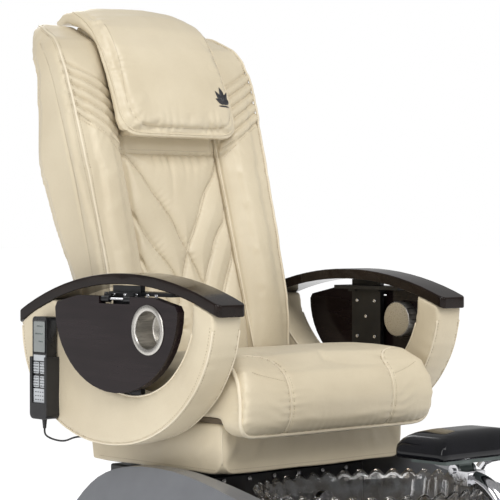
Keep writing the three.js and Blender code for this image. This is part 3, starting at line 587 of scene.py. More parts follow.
def make_seat_cushion():
    ob = blank("seat_cushion", "seat_cushion_cover", 0.006, 14)
    refine(swell(ob, 5.0, 0.013, 0.002))
    c = Cover(ob)
    lobe = millimetres([(240, -246, 668), (196, -258, 670), (166, -266, 668), (151, -284, 658), (148, -308, 640),
                        (148, -322, 610), (147, -325, 585), (146, -319, 549), (146, -303, 524)])
    rear_seam = millimetres([(148, -284, 660), (147, -240, 676), (146, -170, 682), (146, -90, 674), (146, 20, 664)])
    second = millimetres([(262, -276, 650), (236, -298, 650), (197, -308, 640), (160, -316, 632)])
    hem = millimetres([(262, -262, 660), (268, -292, 632), (270, -303, 600), (270, -304, 560), (262, -302, 534),
                       (236, -296, 523), (180, -294, 520), (90, -294, 519), (0, -294, 519)])
    for side in (-1, 1):
        line = flow(mirrored(lobe, side), 0.005)
        c.seam(c.co, line, 0.0035, 0.006)
        c.gathers(c.co, line, 0.0009, 0.017, 0.022, phase=side)
        c.seam(c.co, flow(mirrored(rear_seam, side), 0.006), 0.0025, 0.006)
        c.seam(c.co, flow(mirrored(second, side), 0.006), 0.0012, 0.004)
        edge = flow(mirrored(hem, side), 0.006)
        c.gathers(c.co, edge, 0.0011, 0.019, 0.016, phase=2 * side)
        c.folds((((152, -322, 560), (232, -312, 606)), ((152, -318, 545), (246, -308, 584)),
                 ((154, -314, 533), (226, -306, 556)), ((156, -322, 590), (214, -318, 622)),
                 ((252, -304, 560), (206, -308, 534))), side, 0.0022, 0.0003, 0.008)
    roll = ramp(-c.co[:, 1], 0.20, 0.30)
    c.move(0.0008 * ripple(c.co, (0.26, 0.19)) * (1 - 0.5 * roll))
    c.folds((((-90, -324, 606), (-20, -325, 592)), ((30, -320, 548), (110, -319, 556)),
             ((-120, -321, 560), (-60, -320, 548)), ((84, -318, 626), (138, -314, 632))), 1, 0.0013, 0, 0.009)
    c.done(LEATHER, "seat", "cream_leather", "seat_cushion", 0.8)
    full = np.vstack([mirrored(hem, -1), mirrored(hem, 1)[::-1][1:]])
    under = full + (0, 0.001, -0.0045)
    welt("seat_cushion_welt", c, full, 0.0042, "seat", 0.0014)
    welt("seat_cushion_shadow_cord", c, under, 0.0011, "seat", 0.0, material=THREAD)
    for name, side in SIDES:
        welt("seat_lobe_welt_" + name, c, mirrored(lobe, side), 0.0019, "seat", 0.0)
    stitches("seat_stitches", c, [mirrored(lobe, s) + (0.006 * s, 0, 0) for s in (-1, 1)]
             + [mirrored(lobe, s) - (0.006 * s, 0, 0) for s in (-1, 1)]
             + [mirrored(second, s) for s in (-1, 1)], "seat")


def make_skirt():
    ob = blank("seat_skirt", "seat_skirt_cover", 0.006, 3)
    refine(ob)
    c = Cover(ob)
    low = ramp(0.500 - c.co[:, 2], 0.0, 0.055)
    outer = ramp(np.maximum(np.abs(c.co[:, 0]) - 0.235, -0.215 - c.co[:, 1]), 0.0, 0.012)
    for side in (-1, 1):
        corner = millimetres([(262 * side, -242, 560), (262 * side, -242, 430)])
        c.seam(c.co, flow(corner, 0.006), 0.0046, 0.006)
        away = np.hypot(c.co[:, 0] - 0.260 * side, c.co[:, 1] + 0.240)
        c.co[:, 2] += 0.019 * np.exp(-(away / 0.015) ** 2) * low
        c.folds((((214, -240, 524), (252, -240, 468)), ((150, -240, 530), (178, -240, 470)),
                 ((60, -240, 528), (80, -240, 480))), side, 0.003, 0.0006, 0.011)
        c.folds((((260, -215, 520), (260, -160, 462)), ((260, -90, 520), (260, -40, 466))),
                side, 0.0022, 0, 0.012)
    c.move((0.0016 * ripple(c.co, (0.19, 0.11), 1.0) * low - 0.0025 * low + 0.001) * outer)
    c.done(LEATHER, "seat", "cream_leather", "seat_skirt", 0.3)
    for name, side in SIDES:
        welt("skirt_corner_seam_" + name, c,
             millimetres([(260.5 * side, -240.5, z) for z in (540, 500, 462)]),
             0.0014, "seat", -0.0004)
    hem = [millimetres([(-258, 150, 446), (-260, -90, 446), (-261, -215, 446)]),
           millimetres([(-236, -241, 447), (0, -242, 446), (236, -241, 447)]),
           millimetres([(261, -215, 446), (260, -90, 446), (258, 150, 446)])]
    stitches("skirt_stitches", c, [h + (0, 0, 0.006) for h in hem], "seat", spacing=0.006)


# ---------------------------------------------------------------- backrest
QUILT = [
    [(-143, 509), (-118, 496), (-79, 438), (-49, 393), (-25, 346), (-3, 294), (26, 217), (62, 120)],
    [(-143, 384), (-115, 332), (-86, 288), (-49, 233), (-12, 170), (30, 90)],
    [(-143, 284), (-120, 239), (-86, 180), (-50, 110)],
    [(143, 500), (108, 448), (80, 415), (42, 349), (6, 294), (-21, 233), (-58, 140)],
    [(143, 392), (124, 354), (91, 314), (63, 264), (38, 217), (-4, 130)],
    [(143, 296), (118, 250), (92, 205), (60, 140)],
]
BAND_H = 512.0


def make_center_pad():
    ob = blank("back_center_pad", "back_center_cover", 0.005, 6)
    refine(swell(ob, 3.0, 0.006, 0.002))
    c = Cover(ob)
    lines = [flow(millimetres(line), 0.006) for line in QUILT]
    band = flow(millimetres([(-143, BAND_H), (0, BAND_H - 3), (143, BAND_H)]), 0.01)
    nearest = np.full(len(c.co), 9.0)
    for line in lines + [band]:
        nearest = np.minimum(nearest, from_line(c.face, line, 0.09)[0])
    sides = np.maximum(0.140 - np.abs(c.x), 0.0)
    field = ramp(BAND_H * MM - c.h, -0.004, 0.004) * c.front
    tuft = 1 - np.exp(-np.minimum(nearest, sides * 1.3) / 0.017)
    c.move(field * (0.0115 * tuft - 0.004) - 0.0032 * np.exp(-(nearest / 0.0034) ** 2) * field)
    for k, line in enumerate(lines):
        c.gathers(c.face, line, 0.0009, 0.013, 0.012, field, phase=k)
    for x, reach, deep in ((-6, 62, 0.0042), (38, 44, 0.0030), (62, 40, 0.0028), (84, 38, 0.0026),
                           (112, 30, 0.0020), (-48, 34, 0.0018), (-86, 24, 0.0016)):
        ends = [(x, BAND_H - 2), (x - 5, BAND_H - reach), (x - 14, BAND_H - 2 * reach)]
        fold = flow(millimetres(ends), 0.006)
        near, along = from_line(c.face, fold, 0.05)
        c.move(-deep * np.exp(-(near / 0.007) ** 2) * np.exp(-along / (reach * MM)) * field)
    c.gathers(c.face, band, 0.0013, 0.024, 0.018, field, phase=0.7)
    c.move(0.0016 * c.front * (1 - field) * ramp(c.h, 0.515, 0.53)
           + 0.0008 * c.front * ripple(c.co, (0.09, 0.06)))
    c.done(LEATHER, "back", "cream_leather", "back_center_pad", 0.7)
    rows = [[back_point(x, -66, h) for x, h in line] for line in QUILT]
    rows.append([back_point(x, -64, BAND_H + 4) for x in (-139, -60, 0, 60, 139)])
    stitches("quilt_stitches", c, rows, "back", spacing=0.006)


def roll_in(c):
    """rounds a bolster from its crown down to the centre panel's seam"""
    heights = [h * MM for _, h in BACK_EDGE[::-1]]
    crown = np.interp(c.h, heights, [d * MM for d, _ in BACK_EDGE[::-1]])
    drop = np.maximum(-0.062 - crown, 0.0)
    t = np.clip((np.abs(c.x) - 0.143) / 0.072, 0, 1)
    share = np.clip((-0.062 - c.d) / np.maximum(drop, 1e-4), 0, 1)
    c.co = c.co + np.outer(0.86 * drop * (1 - np.sqrt(1 - (1 - t) ** 2)) * share, REARWARD)
    return c.refresh()


PLEAT, PLEATS = 0.0245, 5


def pleat_line(k):
    """the seam under pleat k, from the shoulder's outer edge to the centre panel"""
    rise, slope = 584 + k * PLEAT * 1000, 0.62 - k * PLEAT
    return [(x, rise - (265 - x) * slope) for x in (266, 225, 184, 143)]


def make_bolsters():
    for name, side in SIDES:
        ob = blank("back_bolster_" + name, "back_bolster_cover_" + name, 0.006, 7)
        refine(swell(ob, 4.0, 0.006, 0.002))
        c = roll_in(Cover(ob))
        across = np.column_stack([np.abs(c.x), c.h])
        yoke = flow(millimetres(pleat_line(0)), 0.006)
        inward = 0.265 - np.abs(c.x)
        above = (c.h - 0.584 + 0.62 * inward) / (1 + inward)
        c.seam(across, yoke, 0.0034, 0.005, c.front)
        wave = (above / PLEAT) % 1.0
        zone = ramp(above, 0.0, 0.006) * ramp(PLEATS * PLEAT + 0.003 - above, 0.0, 0.006) * c.front
        ridge = 1 - np.exp(-np.minimum(wave, 1 - wave) * PLEAT / 0.0042)
        c.move(zone * ramp(np.abs(c.x), 0.1435, 0.150) * (0.0105 * ridge - 0.0058))
        c.seam(across, flow(millimetres(pleat_line(PLEATS)), 0.006), 0.0024, 0.005, c.front)
        c.gathers(across, yoke, 0.0009, 0.018, 0.020, c.front * ramp(-above, 0.0, 0.01), phase=side)
        rim = flow([back_point(side * 268, d, h) for d, h in BACK_EDGE], 0.008)
        c.gathers(c.co, rim, 0.0007, 0.028, 0.02, phase=3 * side)
        panel = flow([back_point(side * 268, d + 46, h) for d, h in BACK_EDGE[2:]], 0.008)
        c.seam(c.co, panel, 0.0034, 0.0050)
        for k, (a, b) in enumerate((((150, 470), (214, 438)), ((158, 402), (226, 360)), ((152, 300), (206, 262)),
                                    ((236, 470), (262, 420)), ((156, 210), (222, 176)), ((152, 352), (190, 338)))):
            fold = flow(millimetres([a, ((a[0] + b[0]) / 2, (a[1] + b[1]) / 2 + 5), b]), 0.006)
            c.crease(across, fold, 0.0018 - 0.0002 * k, 0.011, c.front)
        c.move(0.0014 * ripple(c.co, (0.26, 0.17, 0.11), side) * ramp(-(c.normal @ REARWARD), -0.6, 0.2))
        c.done(LEATHER, "back", "cream_leather", "back_bolster_" + name, 0.85)
        outer = [back_point(side * x, d - 1, h) for (d, h), x in zip(BACK_EDGE, BACK_EDGE_X)]
        welt("back_welt_" + name, c, outer, 0.0028, "back", 0.0012)
        inner = [back_point(side * 145, -62, h) for _, h in BACK_EDGE[3:]]
        welt("back_inner_welt_" + name, c, inner, 0.0018, "back", 0.0004)
        rows = [[p - (side * 0.008, 0, 0) - REARWARD * 0.004 for p in outer],
                [p + REARWARD * 0.012 for p in outer],
                panel[::4], [back_point(side * x, -92, h + 5) for x, h in pleat_line(0)],
                [back_point(side * x, -92, h - 5) for x, h in pleat_line(0)]]
        stitches("back_stitches_" + name, c, rows, "back", spacing=0.006)


BACK_EDGE = [(6, 826), (-32, 793), (-62, 768), (-78, 738), (-89, 680), (-94, 600), (-95, 460), (-94, 320),
             (-92, 238), (-88, 165), (-79, 115), (-62, 60)]
BACK_EDGE_X = (246, 256, 263, 268, 269, 268, 263, 260, 258, 257, 257, 256)


def round_corners(c, half, low, radius):
    """draws in the two lower corners of the pillow"""
    across = np.abs(c.x) - (half - radius)
    down = (low + radius) - c.h
    inside = (across > 0) & (down > 0)
    a, b = across[inside], down[inside]
    pull = np.maximum(a, b) / np.hypot(a, b)
    c.co[inside, 0] = np.sign(c.x[inside]) * (half - radius + a * pull)
    c.co[inside] += np.outer((1 - pull) * b, UPWARD)


def make_pillow():
    ob = blank("head_pillow", "head_pillow_cover", 0.0055, 14)
    refine(swell(ob, 5.0, 0.016, 0.001))
    c = Cover(ob)
    round_corners(c, 0.166, 0.534, 0.048)
    c.co[:, 0] *= 1.035
    c.co += np.outer(-0.010 * ramp(0.64 - c.h, 0.0, 0.08), UPWARD)
    c.co += np.outer(-0.009 * ramp(c.h, 0.80, 0.85) * ramp(np.abs(c.x), 0.10, 0.165), UPWARD)
    c = c.refresh()
    outward = c.front + ramp(c.normal @ UPWARD, 0.3, 0.8) * ramp(c.h, 0.80, 0.83)
    across = np.clip(1 - (c.x / 0.165) ** 2, 0, 1)
    upright = np.clip((c.h - 0.54) / 0.30, 0, 1)
    crown = 0.013 * np.sqrt(across) * np.sin(math.pi * (0.08 + 0.84 * upright))
    c.move(np.clip(outward, 0, 1) * (crown - 0.001))
    border = flow(millimetres([(-147, 830), (-147, 780), (-147, 700), (-146, 612), (-138, 574), (-112, 553),
                               (-60, 549), (60, 549), (118, 553), (143, 575), (149, 615), (148, 700), (146, 790)]),
                  0.006)
    near, _ = from_line(c.face, border, 0.05)
    c.move(-0.0034 * np.exp(-(near / 0.0042) ** 2) * c.front)
    c.gathers(c.face, border, 0.0012, 0.021, 0.022, c.front, phase=0.4)
    for k, (a, b) in enumerate((((146, 660), (96, 648)), ((146, 690), (112, 700)), ((60, 552), (72, 590)),
                                ((96, 556), (112, 592)), ((20, 552), (14, 580)), ((-130, 590), (-96, 622)),
                                ((148, 740), (116, 760)), ((-60, 552), (-70, 582)))):
        c.crease(c.face, flow(millimetres([a, b]), 0.006), (-0.0022, 0.0016)[k % 2], 0.010, c.front)
    c.move(0.0013 * c.front * ripple(c.co, (0.16, 0.10), 0.5))
    c.done(PILLOW, "pillow", "pillow_leather", "head_pillow", 0.9)
    seam = [back_point(x * 1000, -125, h * 1000) for x, h in border[::3]]
    stitches("pillow_stitches", c, [seam], "pillow", spacing=0.0055)
    rim = [back_point(-166, d, h) for d, h in ((-20, 852), (-52, 822), (-80, 780), (-98, 730), (-110, 664),
                                                 (-117, 600))]
    rim += [back_point(x, -118, h) for x, h in ((-160, 566), (-146, 548), (-118, 538), (0, 537), (118, 538),
                                                 (146, 548), (160, 566))]
    rim += [back_point(166, d, h) for d, h in ((-117, 600), (-110, 664), (-98, 730), (-80, 780), (-52, 822))]
    welt("pillow_welt", c, rim, 0.0020, "pillow", 0.0, material=PILLOW)
    make_lotus(c)


def make_lotus(c):
    """a small inked lotus on the pillow's lower left, drawn flat and laid on the leather"""
    bm = bmesh.new()
    for turn, size in ((0, 1.0), (34, 0.88), (-34, 0.88), (66, 0.66), (-66, 0.66)):
        petal = bmesh.ops.create_circle(bm, cap_ends=True, segments=28, radius=1.0)["verts"]
        for v in petal:
            taper = 1 - 0.75 * max(v.co.y, 0) ** 1.6
            v.co = Vector((v.co.x * 0.0062 * taper, (v.co.y + 1.0) * 0.0165, 0)) * size
        bmesh.ops.rotate(bm, verts=petal, matrix=Matrix.Rotation(math.radians(turn), 3, "Z"))
    leaf = bmesh.ops.create_circle(bm, cap_ends=True, segments=28, radius=1.0)["verts"]
    for v in leaf:
        v.co = Vector((v.co.x * 0.0150, v.co.y * 0.0016 - 0.0045, 0))
    bmesh.ops.triangulate(bm, faces=bm.faces)
    bmesh.ops.subdivide_edges(bm, edges=bm.edges, cuts=1)
    for v in bm.verts:
        start = Vector(back_point(124 + v.co.x * 1150, -130, 606 + v.co.y * 1250))
        spot, normal, _, _ = c.tree.find_nearest(start)
        v.co = spot + normal * 0.0005
    bmesh.ops.recalc_face_normals(bm, faces=bm.faces)
    ob = piece(bm, "pillow_lotus_print", INK, "pillow")
    skin = ob.modifiers.new("ink", "SOLIDIFY")
    skin.thickness = 0.0005
    skin.offset = 0.0


# ---------------------------------------------------------------- arms
def u_line(centre, top, front, front_power, rear, rear_power, depth, share=(0.04, 0.96), count=22):
    points = []
    for t in np.linspace(share[0] * math.pi, share[1] * math.pi, count):
        half, power = (-front, front_power) if t < math.pi / 2 else (rear, rear_power)
        points.append((centre + half * abs(math.cos(t)) ** (2 / power),
                       top - depth * math.sin(t) ** (2 / power)))
    return points


ARM_OUTER = u_line(0, 770, 322, 2.0, 302, 2.3, 278)
ARM_OPENING = u_line(-75, 780, 186, 2.0, 250, 1.75, 182, (0.09, 0.91))


def make_arms():
    for name, side in SIDES:
        ob = blank("arm_panel_" + name, "arm_cover_" + name, 0.006, 4)
        refine(ob)
        c = Cover(ob)
        out = c.normal[:, 0] * side
        faces = ramp(np.abs(out), 0.6, 0.95)
        rim_outer = [flow(millimetres([(side * x, y, z) for y, z in ARM_OUTER]), 0.01) for x in (356, 280)]
        rim_inner = [flow(millimetres([(side * x, y, z) for y, z in ARM_OPENING]), 0.01) for x in (356, 280)]
        nearest = np.full(len(c.co), 9.0)
        for line in rim_outer + rim_inner:
            nearest = np.minimum(nearest, from_line(c.co, line, 0.12)[0])
        c.move(faces * (0.0042 * (1 - np.exp(-nearest / 0.020)) - 0.0022))
        c.move((1 - faces) * (0.002 * (1 - np.exp(-nearest / 0.014)) - 0.0012))
        for k, line in enumerate(rim_outer + rim_inner):
            c.gathers(c.co, line, 0.0006, 0.026, 0.018, phase=k + side)
        c.move(0.0012 * ripple(c.co, (0.23, 0.14, 0.09), 2.0 + side))
        c.done(LEATHER, "seat", "cream_leather", "arm_panel_" + name, 0.75)
        for k, x in enumerate((356, 280)):
            outer = millimetres([(side * x, y, z) for y, z in ARM_OUTER])
            opening = millimetres([(side * x, y, z) for y, z in ARM_OPENING])
            welt(f"arm_rim_welt_{name}_{k + 1}", c, outer, 0.0021, "seat", 0.0004, step=0.008)
            welt(f"arm_opening_welt_{name}_{k + 1}", c, opening, 0.0019, "seat", 0.0004, step=0.008)
        inset = -side * 0.007
        rows = [millimetres([(side * 356, y * 0.975, z + 5) for y, z in ARM_OUTER]),
                millimetres([(side * 356, y, z) for y, z in ARM_OUTER]) + (inset, 0, 0),
                millimetres([(side * 280, y, z) for y, z in ARM_OUTER]) - (inset, 0, 0)]
        stitches("arm_stitches_" + name, c, rows, "seat", spacing=0.0065)


# ---------------------------------------------------------------- trays, cups and their links
def make_cups():
    for name, side in SIDES:
        lo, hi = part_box("tray_cup_" + name)
        centre = (lo + hi) / 2
        mouth = hi.x if side > 0 else -lo.x
        bm = bmesh.new()
        profile = [(0.0, mouth - 0.0490), (0.0360, mouth - 0.0490), (0.0384, mouth - 0.0470),
                   (0.0385, mouth - 0.0034), (0.0482, mouth - 0.0034), (0.0494, mouth - 0.0026),
                   (0.0492, mouth - 0.0014), (0.0470, mouth - 0.0003), (0.0440, mouth), (0.0400, mouth - 0.0004),
                   (0.0380, mouth - 0.0016), (0.0371, mouth - 0.0036), (0.0371, mouth - 0.0440),
                   (0.0350, mouth - 0.0472), (0.0, mouth - 0.0475)]
        verts = [bm.verts.new((side * x, centre.y + r, centre.z)) for r, x in profile]
        edges = [bm.edges.new(pair) for pair in zip(verts[:-1], verts[1:])]
        bmesh.ops.spin(bm, geom=verts + edges, cent=(0, centre.y, centre.z), axis=(1, 0, 0),
                       angle=2 * math.pi, steps=72, use_merge=True)
        bmesh.ops.remove_doubles(bm, verts=bm.verts, dist=1e-6)
        bmesh.ops.recalc_face_normals(bm, faces=bm.faces)
        cup = piece(bm, "cup_ring_" + name, CUP, "tray_" + name)
        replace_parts(cup, "tray_cup_" + name)
        weighted(cup)


def bolt(bm, spot, axis, radius, height):
    """a button-head screw with a hexagon socket, standing on spot along axis"""
    turn = Vector((0, 0, 1)).rotation_difference(Vector(axis)).to_matrix().to_4x4()
    place = Matrix.Translation(Vector(spot)) @ turn
    made = bmesh.ops.create_cone(bm, cap_ends=True, segments=18, radius1=radius, radius2=radius * 0.72,
                                 depth=height, matrix=place @ Matrix.Translation((0, 0, height / 2)))
    top = max((f for v in made["verts"] for f in v.link_faces),
              key=lambda f: (place.inverted() @ f.calc_center_median()).z)
    bmesh.ops.inset_region(bm, faces=[top], thickness=radius * 0.28)
    bmesh.ops.translate(bm, verts=top.verts, vec=-Vector(axis) * height * 0.5)


def make_tray_links():
    for name, side in SIDES:
        bm = bmesh.new()
        for y in (-0.126, -0.100, -0.064, -0.028, 0.008, 0.032):
            bolt(bm, (side * 0.3485, y - 0.02, 0.7985), (side, 0, 0), 0.0042, 0.0035)
        for y, z in ((-0.080, 0.770), (-0.026, 0.770), (-0.053, 0.735), (-0.080, 0.690), (-0.026, 0.690)):
            bolt(bm, (side * 0.3385, y, z), (-side, 0, 0), 0.0045, 0.003)
            bolt(bm, (side * 0.3495, y, z), (side, 0, 0), 0.0045, 0.003)
        piece(bm, "tray_link_bolts_" + name, CHROME, "seat")
        bm = bmesh.new()
        for y, wide in ((-0.082, 0.022), (-0.010, 0.022)):
            block_at(bm, (side * 0.3635, y, 0.7985), (0.004, wide, 0.0055))
        block_at(bm, (side * 0.3635, -0.046, 0.8030), (0.004, 0.094, 0.0022))
        bmesh.ops.bevel(bm, geom=bm.edges[:], offset=0.0008, segments=2, profile=0.5, affect="EDGES",
                        material=-1)
        piece(bm, "tray_link_bars_" + name, STEEL_BLACK, "seat")


# ---------------------------------------------------------------- hand remote
KEY_PLACES = (("recline", 11, 641), ("upright", -11, 641), ("forward", 11, 612), ("massage", -11, 612))


def make_remote():
    eased("remote_case", REMOTE_BLACK, 0.0016, 3)
    eased("remote_holster", PLASTIC, 0.0012, 2)
    eased("remote_screen", LCD, 0.0003, 1)
    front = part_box("remote_screen")[0].x
    bm = bmesh.new()
    for row, wide in enumerate((0.020, 0.026, 0.014)):
        block_at(bm, (front - 0.0001, 0.177 + wide / 2, 0.728 - 0.016 * row), (0.0003, wide, 0.0022))
    piece(bm, "screen_print", BRACKET, "remote")
    bm = bmesh.new()
    block_at(bm, (front + 0.0006, 0.190, 0.706), (0.0014, 0.043, 0.069))
    face = min(bm.faces, key=lambda f: f.calc_center_median().x)
    bmesh.ops.inset_region(bm, faces=[face], thickness=0.0028)
    bmesh.ops.translate(bm, verts=face.verts, vec=(0.0008, 0, 0))
    piece(bm, "screen_frame", REMOTE_BLACK, "remote", smooth=False)
    make_keypad()


def make_keypad():
    for key, dy, z in KEY_PLACES:
        eased("key_" + key, KEYPAD, 0.0007, 2)
        lo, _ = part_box("key_" + key)
        bm = bmesh.new()
        for row in range(4):
            for column in (-1.5, -0.5, 0.5, 1.5):
                spot = Vector((lo.x - 0.0001, (190 + dy + column * 4.4) * MM, (z + 8.7 - row * 5.8) * MM))
                shape = int(row + 2 * column + len(key)) % 3
                if shape == 0:
                    bmesh.ops.create_cone(bm, cap_ends=True, segments=3, radius1=0.0019, radius2=0.0019,
                                          depth=0.0004, matrix=Matrix.Translation(spot)
                                          @ Matrix.Rotation(math.pi / 2, 4, "Y"))
                else:
                    size = (0.0004, 0.0032, 0.0018) if shape == 1 else (0.0004, 0.0022, 0.0030)
                    block_at(bm, spot, size)
        piece(bm, "key_marks_" + key, INK, key + "_button", smooth=False)
    lo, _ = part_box("remote_case")
    bm = bmesh.new()
    for z0, z1 in ((0.6555, 0.668), (0.568, 0.5975)):
        block_at(bm, (lo.x - 0.0002, 0.190, (z0 + z1) / 2), (0.0006, 0.040, z1 - z0))
    bmesh.ops.bevel(bm, geom=bm.edges[:], offset=0.0002, segments=1, profile=0.5, affect="EDGES", material=-1)
    piece(bm, "keypad_plates", KEYPAD, "remote", smooth=False)
    bm = bmesh.new()
    for z in (0.5905, 0.5825, 0.5745):
        for dy in (-0.012, -0.004, 0.004, 0.012):
            block_at(bm, (lo.x - 0.0006, 0.190 + dy, z), (0.0004, 0.0042, 0.0018))
    piece(bm, "keypad_marks", INK, "remote", smooth=False)


# ---------------------------------------------------------------- foot bowl
def make_bowl():
    lo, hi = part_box("glass_bowl")
    rx, ry = (hi.x - lo.x) / 2, (hi.y - lo.y) / 2
    centre, rim, floor = (hi.y + lo.y) / 2, hi.z, lo.z
    tall = rim - floor
    bm = bmesh.new()
    profile = [(0.10, 0.010), (0.56, 0.010), (0.70, 0.02), (0.80, 0.06), (0.865, 0.16), (0.905, 0.30), (0.925, 0.60),
               (0.94, 0.84), (0.965, 0.94), (0.985, 1.0), (1.0, 0.985), (0.998, 0.94), (0.982, 0.90), (0.962, 0.84),
               (0.950, 0.60), (0.935, 0.28), (0.895, 0.13), (0.83, 0.03), (0.72, 0.0), (0.56, 0.0), (0.10, 0.0)]
    verts = [bm.verts.new((r, 0, h)) for r, h in profile]
    loop = [bm.edges.new((verts[i], verts[(i + 1) % len(verts)])) for i in range(len(verts))]
    bmesh.ops.spin(bm, geom=verts + loop, cent=(0, 0, 0), axis=(0, 0, 1), angle=2 * math.pi, steps=336,
                   use_merge=True)
    bmesh.ops.remove_doubles(bm, verts=bm.verts, dist=1e-6)
    scallops = 42
    for v in bm.verts:
        r, turn, h = math.hypot(v.co.x, v.co.y), math.atan2(v.co.y, v.co.x), v.co.z
        beat = abs(math.cos(turn * scallops / 2))
        crown = max(0.0, (h - 0.86) / 0.14)
        wall = max(0.0, 1 - abs(h - 0.5) / 0.45) * (r > 0.8)
        r *= 1 - 0.020 * (1 - beat) * (crown > 0) - 0.026 * (1 - beat) * wall
        v.co = Vector((r * math.cos(turn) * rx, centre + r * math.sin(turn) * ry,
                       floor + (h - 0.085 * (1 - beat) * crown) * tall))
    bmesh.ops.recalc_face_normals(bm, faces=bm.faces)
    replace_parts(piece(bm, "fluted_glass_bowl", GLASS, "base"), "glass_bowl")
    bm = bmesh.new()
    for k in range(scallops):
        turn = 2 * math.pi * k / scallops
        spot = (0.985 * rx * math.cos(turn), centre + 0.985 * ry * math.sin(turn), rim - 0.0055)
        bmesh.ops.create_icosphere(bm, subdivisions=2, radius=0.0052, matrix=Matrix.Translation(spot)
                                   @ Matrix.Diagonal((1, 1, 0.8, 1)))
    piece(bm, "bowl_rim_beads", GLASS, "base")


def make_base():
    for name, _ in SIDES:
        eased("side_panel_" + name, SHELL, 0.006, 3, 32)
    eased("front_panel", SHELL, 0.003, 2)
    eased("machine_box", PLASTIC, 0.004, 2)
    eased("bowl_deck", PLASTIC, 0.0015, 2)
    bm = bmesh.new()
    for x in (-0.19, -0.12, -0.05, 0.02, 0.09, 0.16):
        bolt(bm, (x, -0.1652, 0.4205), (0, -1, 0), 0.0055, 0.004)
        bolt(bm, (x, -0.130, 0.4305), (0, 0, 1), 0.0055, 0.004)
    piece(bm, "machine_bolts", CHROME, "base")


def make_footrest():
    ob = blank("footrest_pad", "footrest_cushion", 0.005, 10)
    refine(ob)
    furnish(ob, FOOT_GLOSS, "foot_head")
    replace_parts(ob, "footrest_pad")
    eased("footrest_arm", CHROME, 0.0015, 2, 40)
    eased("footrest_bracket", BRACKET, 0.0015, 2, 40)


# ---------------------------------------------------------------- the rest of the hard parts
PLAIN = {
    "base_pan": STEEL_BLACK, "rear_panel": PLASTIC, "slide_rail_right": CHROME, "slide_rail_left": CHROME,
    "bowl_gasket": RUBBER, "drain_flange": CHROME, "drain_stopper": CHROME, "jet_cap": CHROME,
    "filler_spout": CHROME, "valve_lever": CHROME, "footrest_socket": STEEL_BLACK, "tilt_pin": CHROME,
    "clamp_knob": PLASTIC, "seat_frame": STEEL_BLACK, "recline_rod": CHROME, "seat_pan": PLY_SHADOW_DARK,
    # the seat pan takes the darkened plywood, a painted shadow under the cushion
    "actuator_housing": STEEL_BLACK, "actuator_rod": CHROME, "tray_pin_right": CHROME, "tray_pin_left": CHROME,
    "strain_relief": RUBBER, "cord_grommet": RUBBER, "back_frame": STEEL_BLACK, "massage_carriage": PLASTIC,
    "massage_arm_right": PLASTIC, "massage_arm_left": PLASTIC,
}


def finish_hard_parts():
    for node, material in PLAIN.items():
        NODES[node].data.materials.clear()
        NODES[node].data.materials.append(material)
    for name, _ in SIDES:
        eased("arm_cap_" + name, CAP_LACQUER, 0.0028, 3)
        eased("tray_board_" + name, ESPRESSO, 0.0020, 3)
        eased("tray_post_" + name, STEEL_BLACK, 0.0010, 2)
    eased("back_cover", PLASTIC, 0.0012, 2)


def make_back_channel():
    """the steel channels behind the lower back, with the screws that hold the cover"""
    for name, side in SIDES:
        bm = bmesh.new()
        line = [(60, 40), (66, 110), (74, 180), (80, 236), (83, 246)]
        rows = []
        for d, h in line:
            inner = back_point(side * 236, d + 6, h)
            outer = back_point(side * 261, d + 6, h)
            deep = REARWARD * 0.026
            rows.append([bm.verts.new(p) for p in (inner, outer, outer + deep, inner + deep)])
        for a, b in zip(rows[:-1], rows[1:]):
            for k in range(4):
                bm.faces.new((a[k], a[(k + 1) % 4], b[(k + 1) % 4], b[k]))
        bm.faces.new(rows[0])
        bm.faces.new(rows[-1])
        bmesh.ops.recalc_face_normals(bm, faces=bm.faces)
        bmesh.ops.bevel(bm, geom=bm.edges[:], offset=0.002, segments=2, profile=0.5, affect="EDGES",
                        clamp_overlap=True, material=-1)
        weighted(piece(bm, "back_channel_" + name, STEEL_BLACK, "back"))
        bm = bmesh.new()
        for d, h in ((62, 90), (67, 126), (71, 164), (75, 202)):
            bolt(bm, back_point(side * 261, d + 19, h), (side, 0, 0), 0.005, 0.004)
        piece(bm, "back_channel_bolts_" + name, CHROME, "back")


# ---------------------------------------------------------------- stage
def soft_light(name, spot, aim, size, power, color=(1, 1, 1)):
    data = bpy.data.lights.new(name, "AREA")
    data.shape = "RECTANGLE"
    data.size, data.size_y = size
    data.energy = power
    data.color = color
    lamp = bpy.data.objects.new(name, data)
    lamp.location = spot
    lamp.rotation_euler = (Vector(aim) - Vector(spot)).to_track_quat("-Z", "Y").to_euler()
    scene.collection.objects.link(lamp)


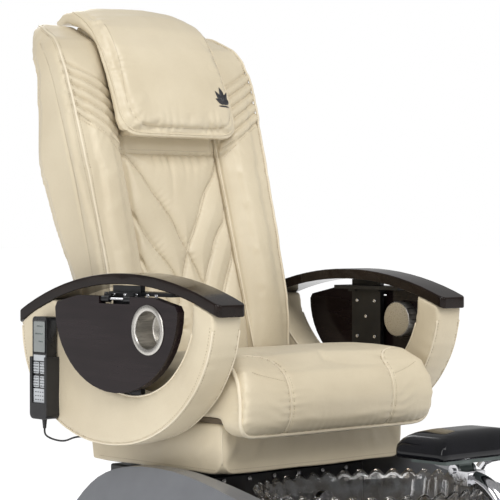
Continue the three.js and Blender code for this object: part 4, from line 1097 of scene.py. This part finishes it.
def make_stage():
    bm = bmesh.new()
    bmesh.ops.create_grid(bm, x_segments=2, y_segments=2, size=60.0,
                          matrix=Matrix.Translation((0, 0, -0.0005)))
    f = Finish("pale_floor", (0.93, 0.93, 0.93), 0.6)
    f.paint(f.tint(f.noise(0.8, 2.0), (0.90, 0.90, 0.90), (0.95, 0.95, 0.95)))
    f.bump(f.noise(12.0, 2.0), 0.02, 0.001)
    f.shader.inputs["Emission Color"].default_value = (1.0, 1.0, 1.0, 1.0)
    f.shader.inputs["Emission Strength"].default_value = 0.34
    floor = piece(bm, "floor", f.material)
    world = bpy.data.worlds.new("studio")
    world.use_nodes = True
    tree = world.node_tree
    seen, cast = tree.nodes["Background"], tree.nodes.new("ShaderNodeBackground")
    seen.inputs["Color"].default_value = cast.inputs["Color"].default_value = (1.0, 1.0, 1.0, 1.0)
    seen.inputs["Strength"].default_value, cast.inputs["Strength"].default_value = 1.0, 0.38
    choose, path = tree.nodes.new("ShaderNodeMixShader"), tree.nodes.new("ShaderNodeLightPath")
    tree.links.new(path.outputs["Is Camera Ray"], choose.inputs["Fac"])
    tree.links.new(cast.outputs["Background"], choose.inputs[1])
    tree.links.new(seen.outputs["Background"], choose.inputs[2])
    tree.links.new(choose.outputs["Shader"], tree.nodes["World Output"].inputs["Surface"])
    scene.world = world
    sun = bpy.data.objects.new("high_key", bpy.data.lights.new("high_key", "SUN"))
    sun.data.energy = 1.75
    sun.data.angle = math.radians(28)
    sun.rotation_euler = Vector((0.50, 0.95, -1.25)).to_track_quat("-Z", "Y").to_euler()
    scene.collection.objects.link(sun)
    soft_light("key", (0.6, -3.0, 2.6), (0, 0, 0.75), (1.3, 1.3), 22.0, (1.0, 0.99, 0.97))
    soft_light("side", (-3.4, -0.6, 1.7), (0, 0, 0.6), (0.9, 2.0), 30.0)
    soft_light("rear", (0.6, 2.4, 2.6), (0, 0, 1.0), (1.8, 1.0), 20.0)
    scene.view_settings.view_transform = "Standard"


make_camera()
make_cord()
make_seat_cushion()
make_skirt()
make_center_pad()
make_bolsters()
make_pillow()
make_arms()
make_cups()
make_tray_links()
make_remote()
make_bowl()
make_base()
make_footrest()
finish_hard_parts()
make_back_channel()
make_stage()
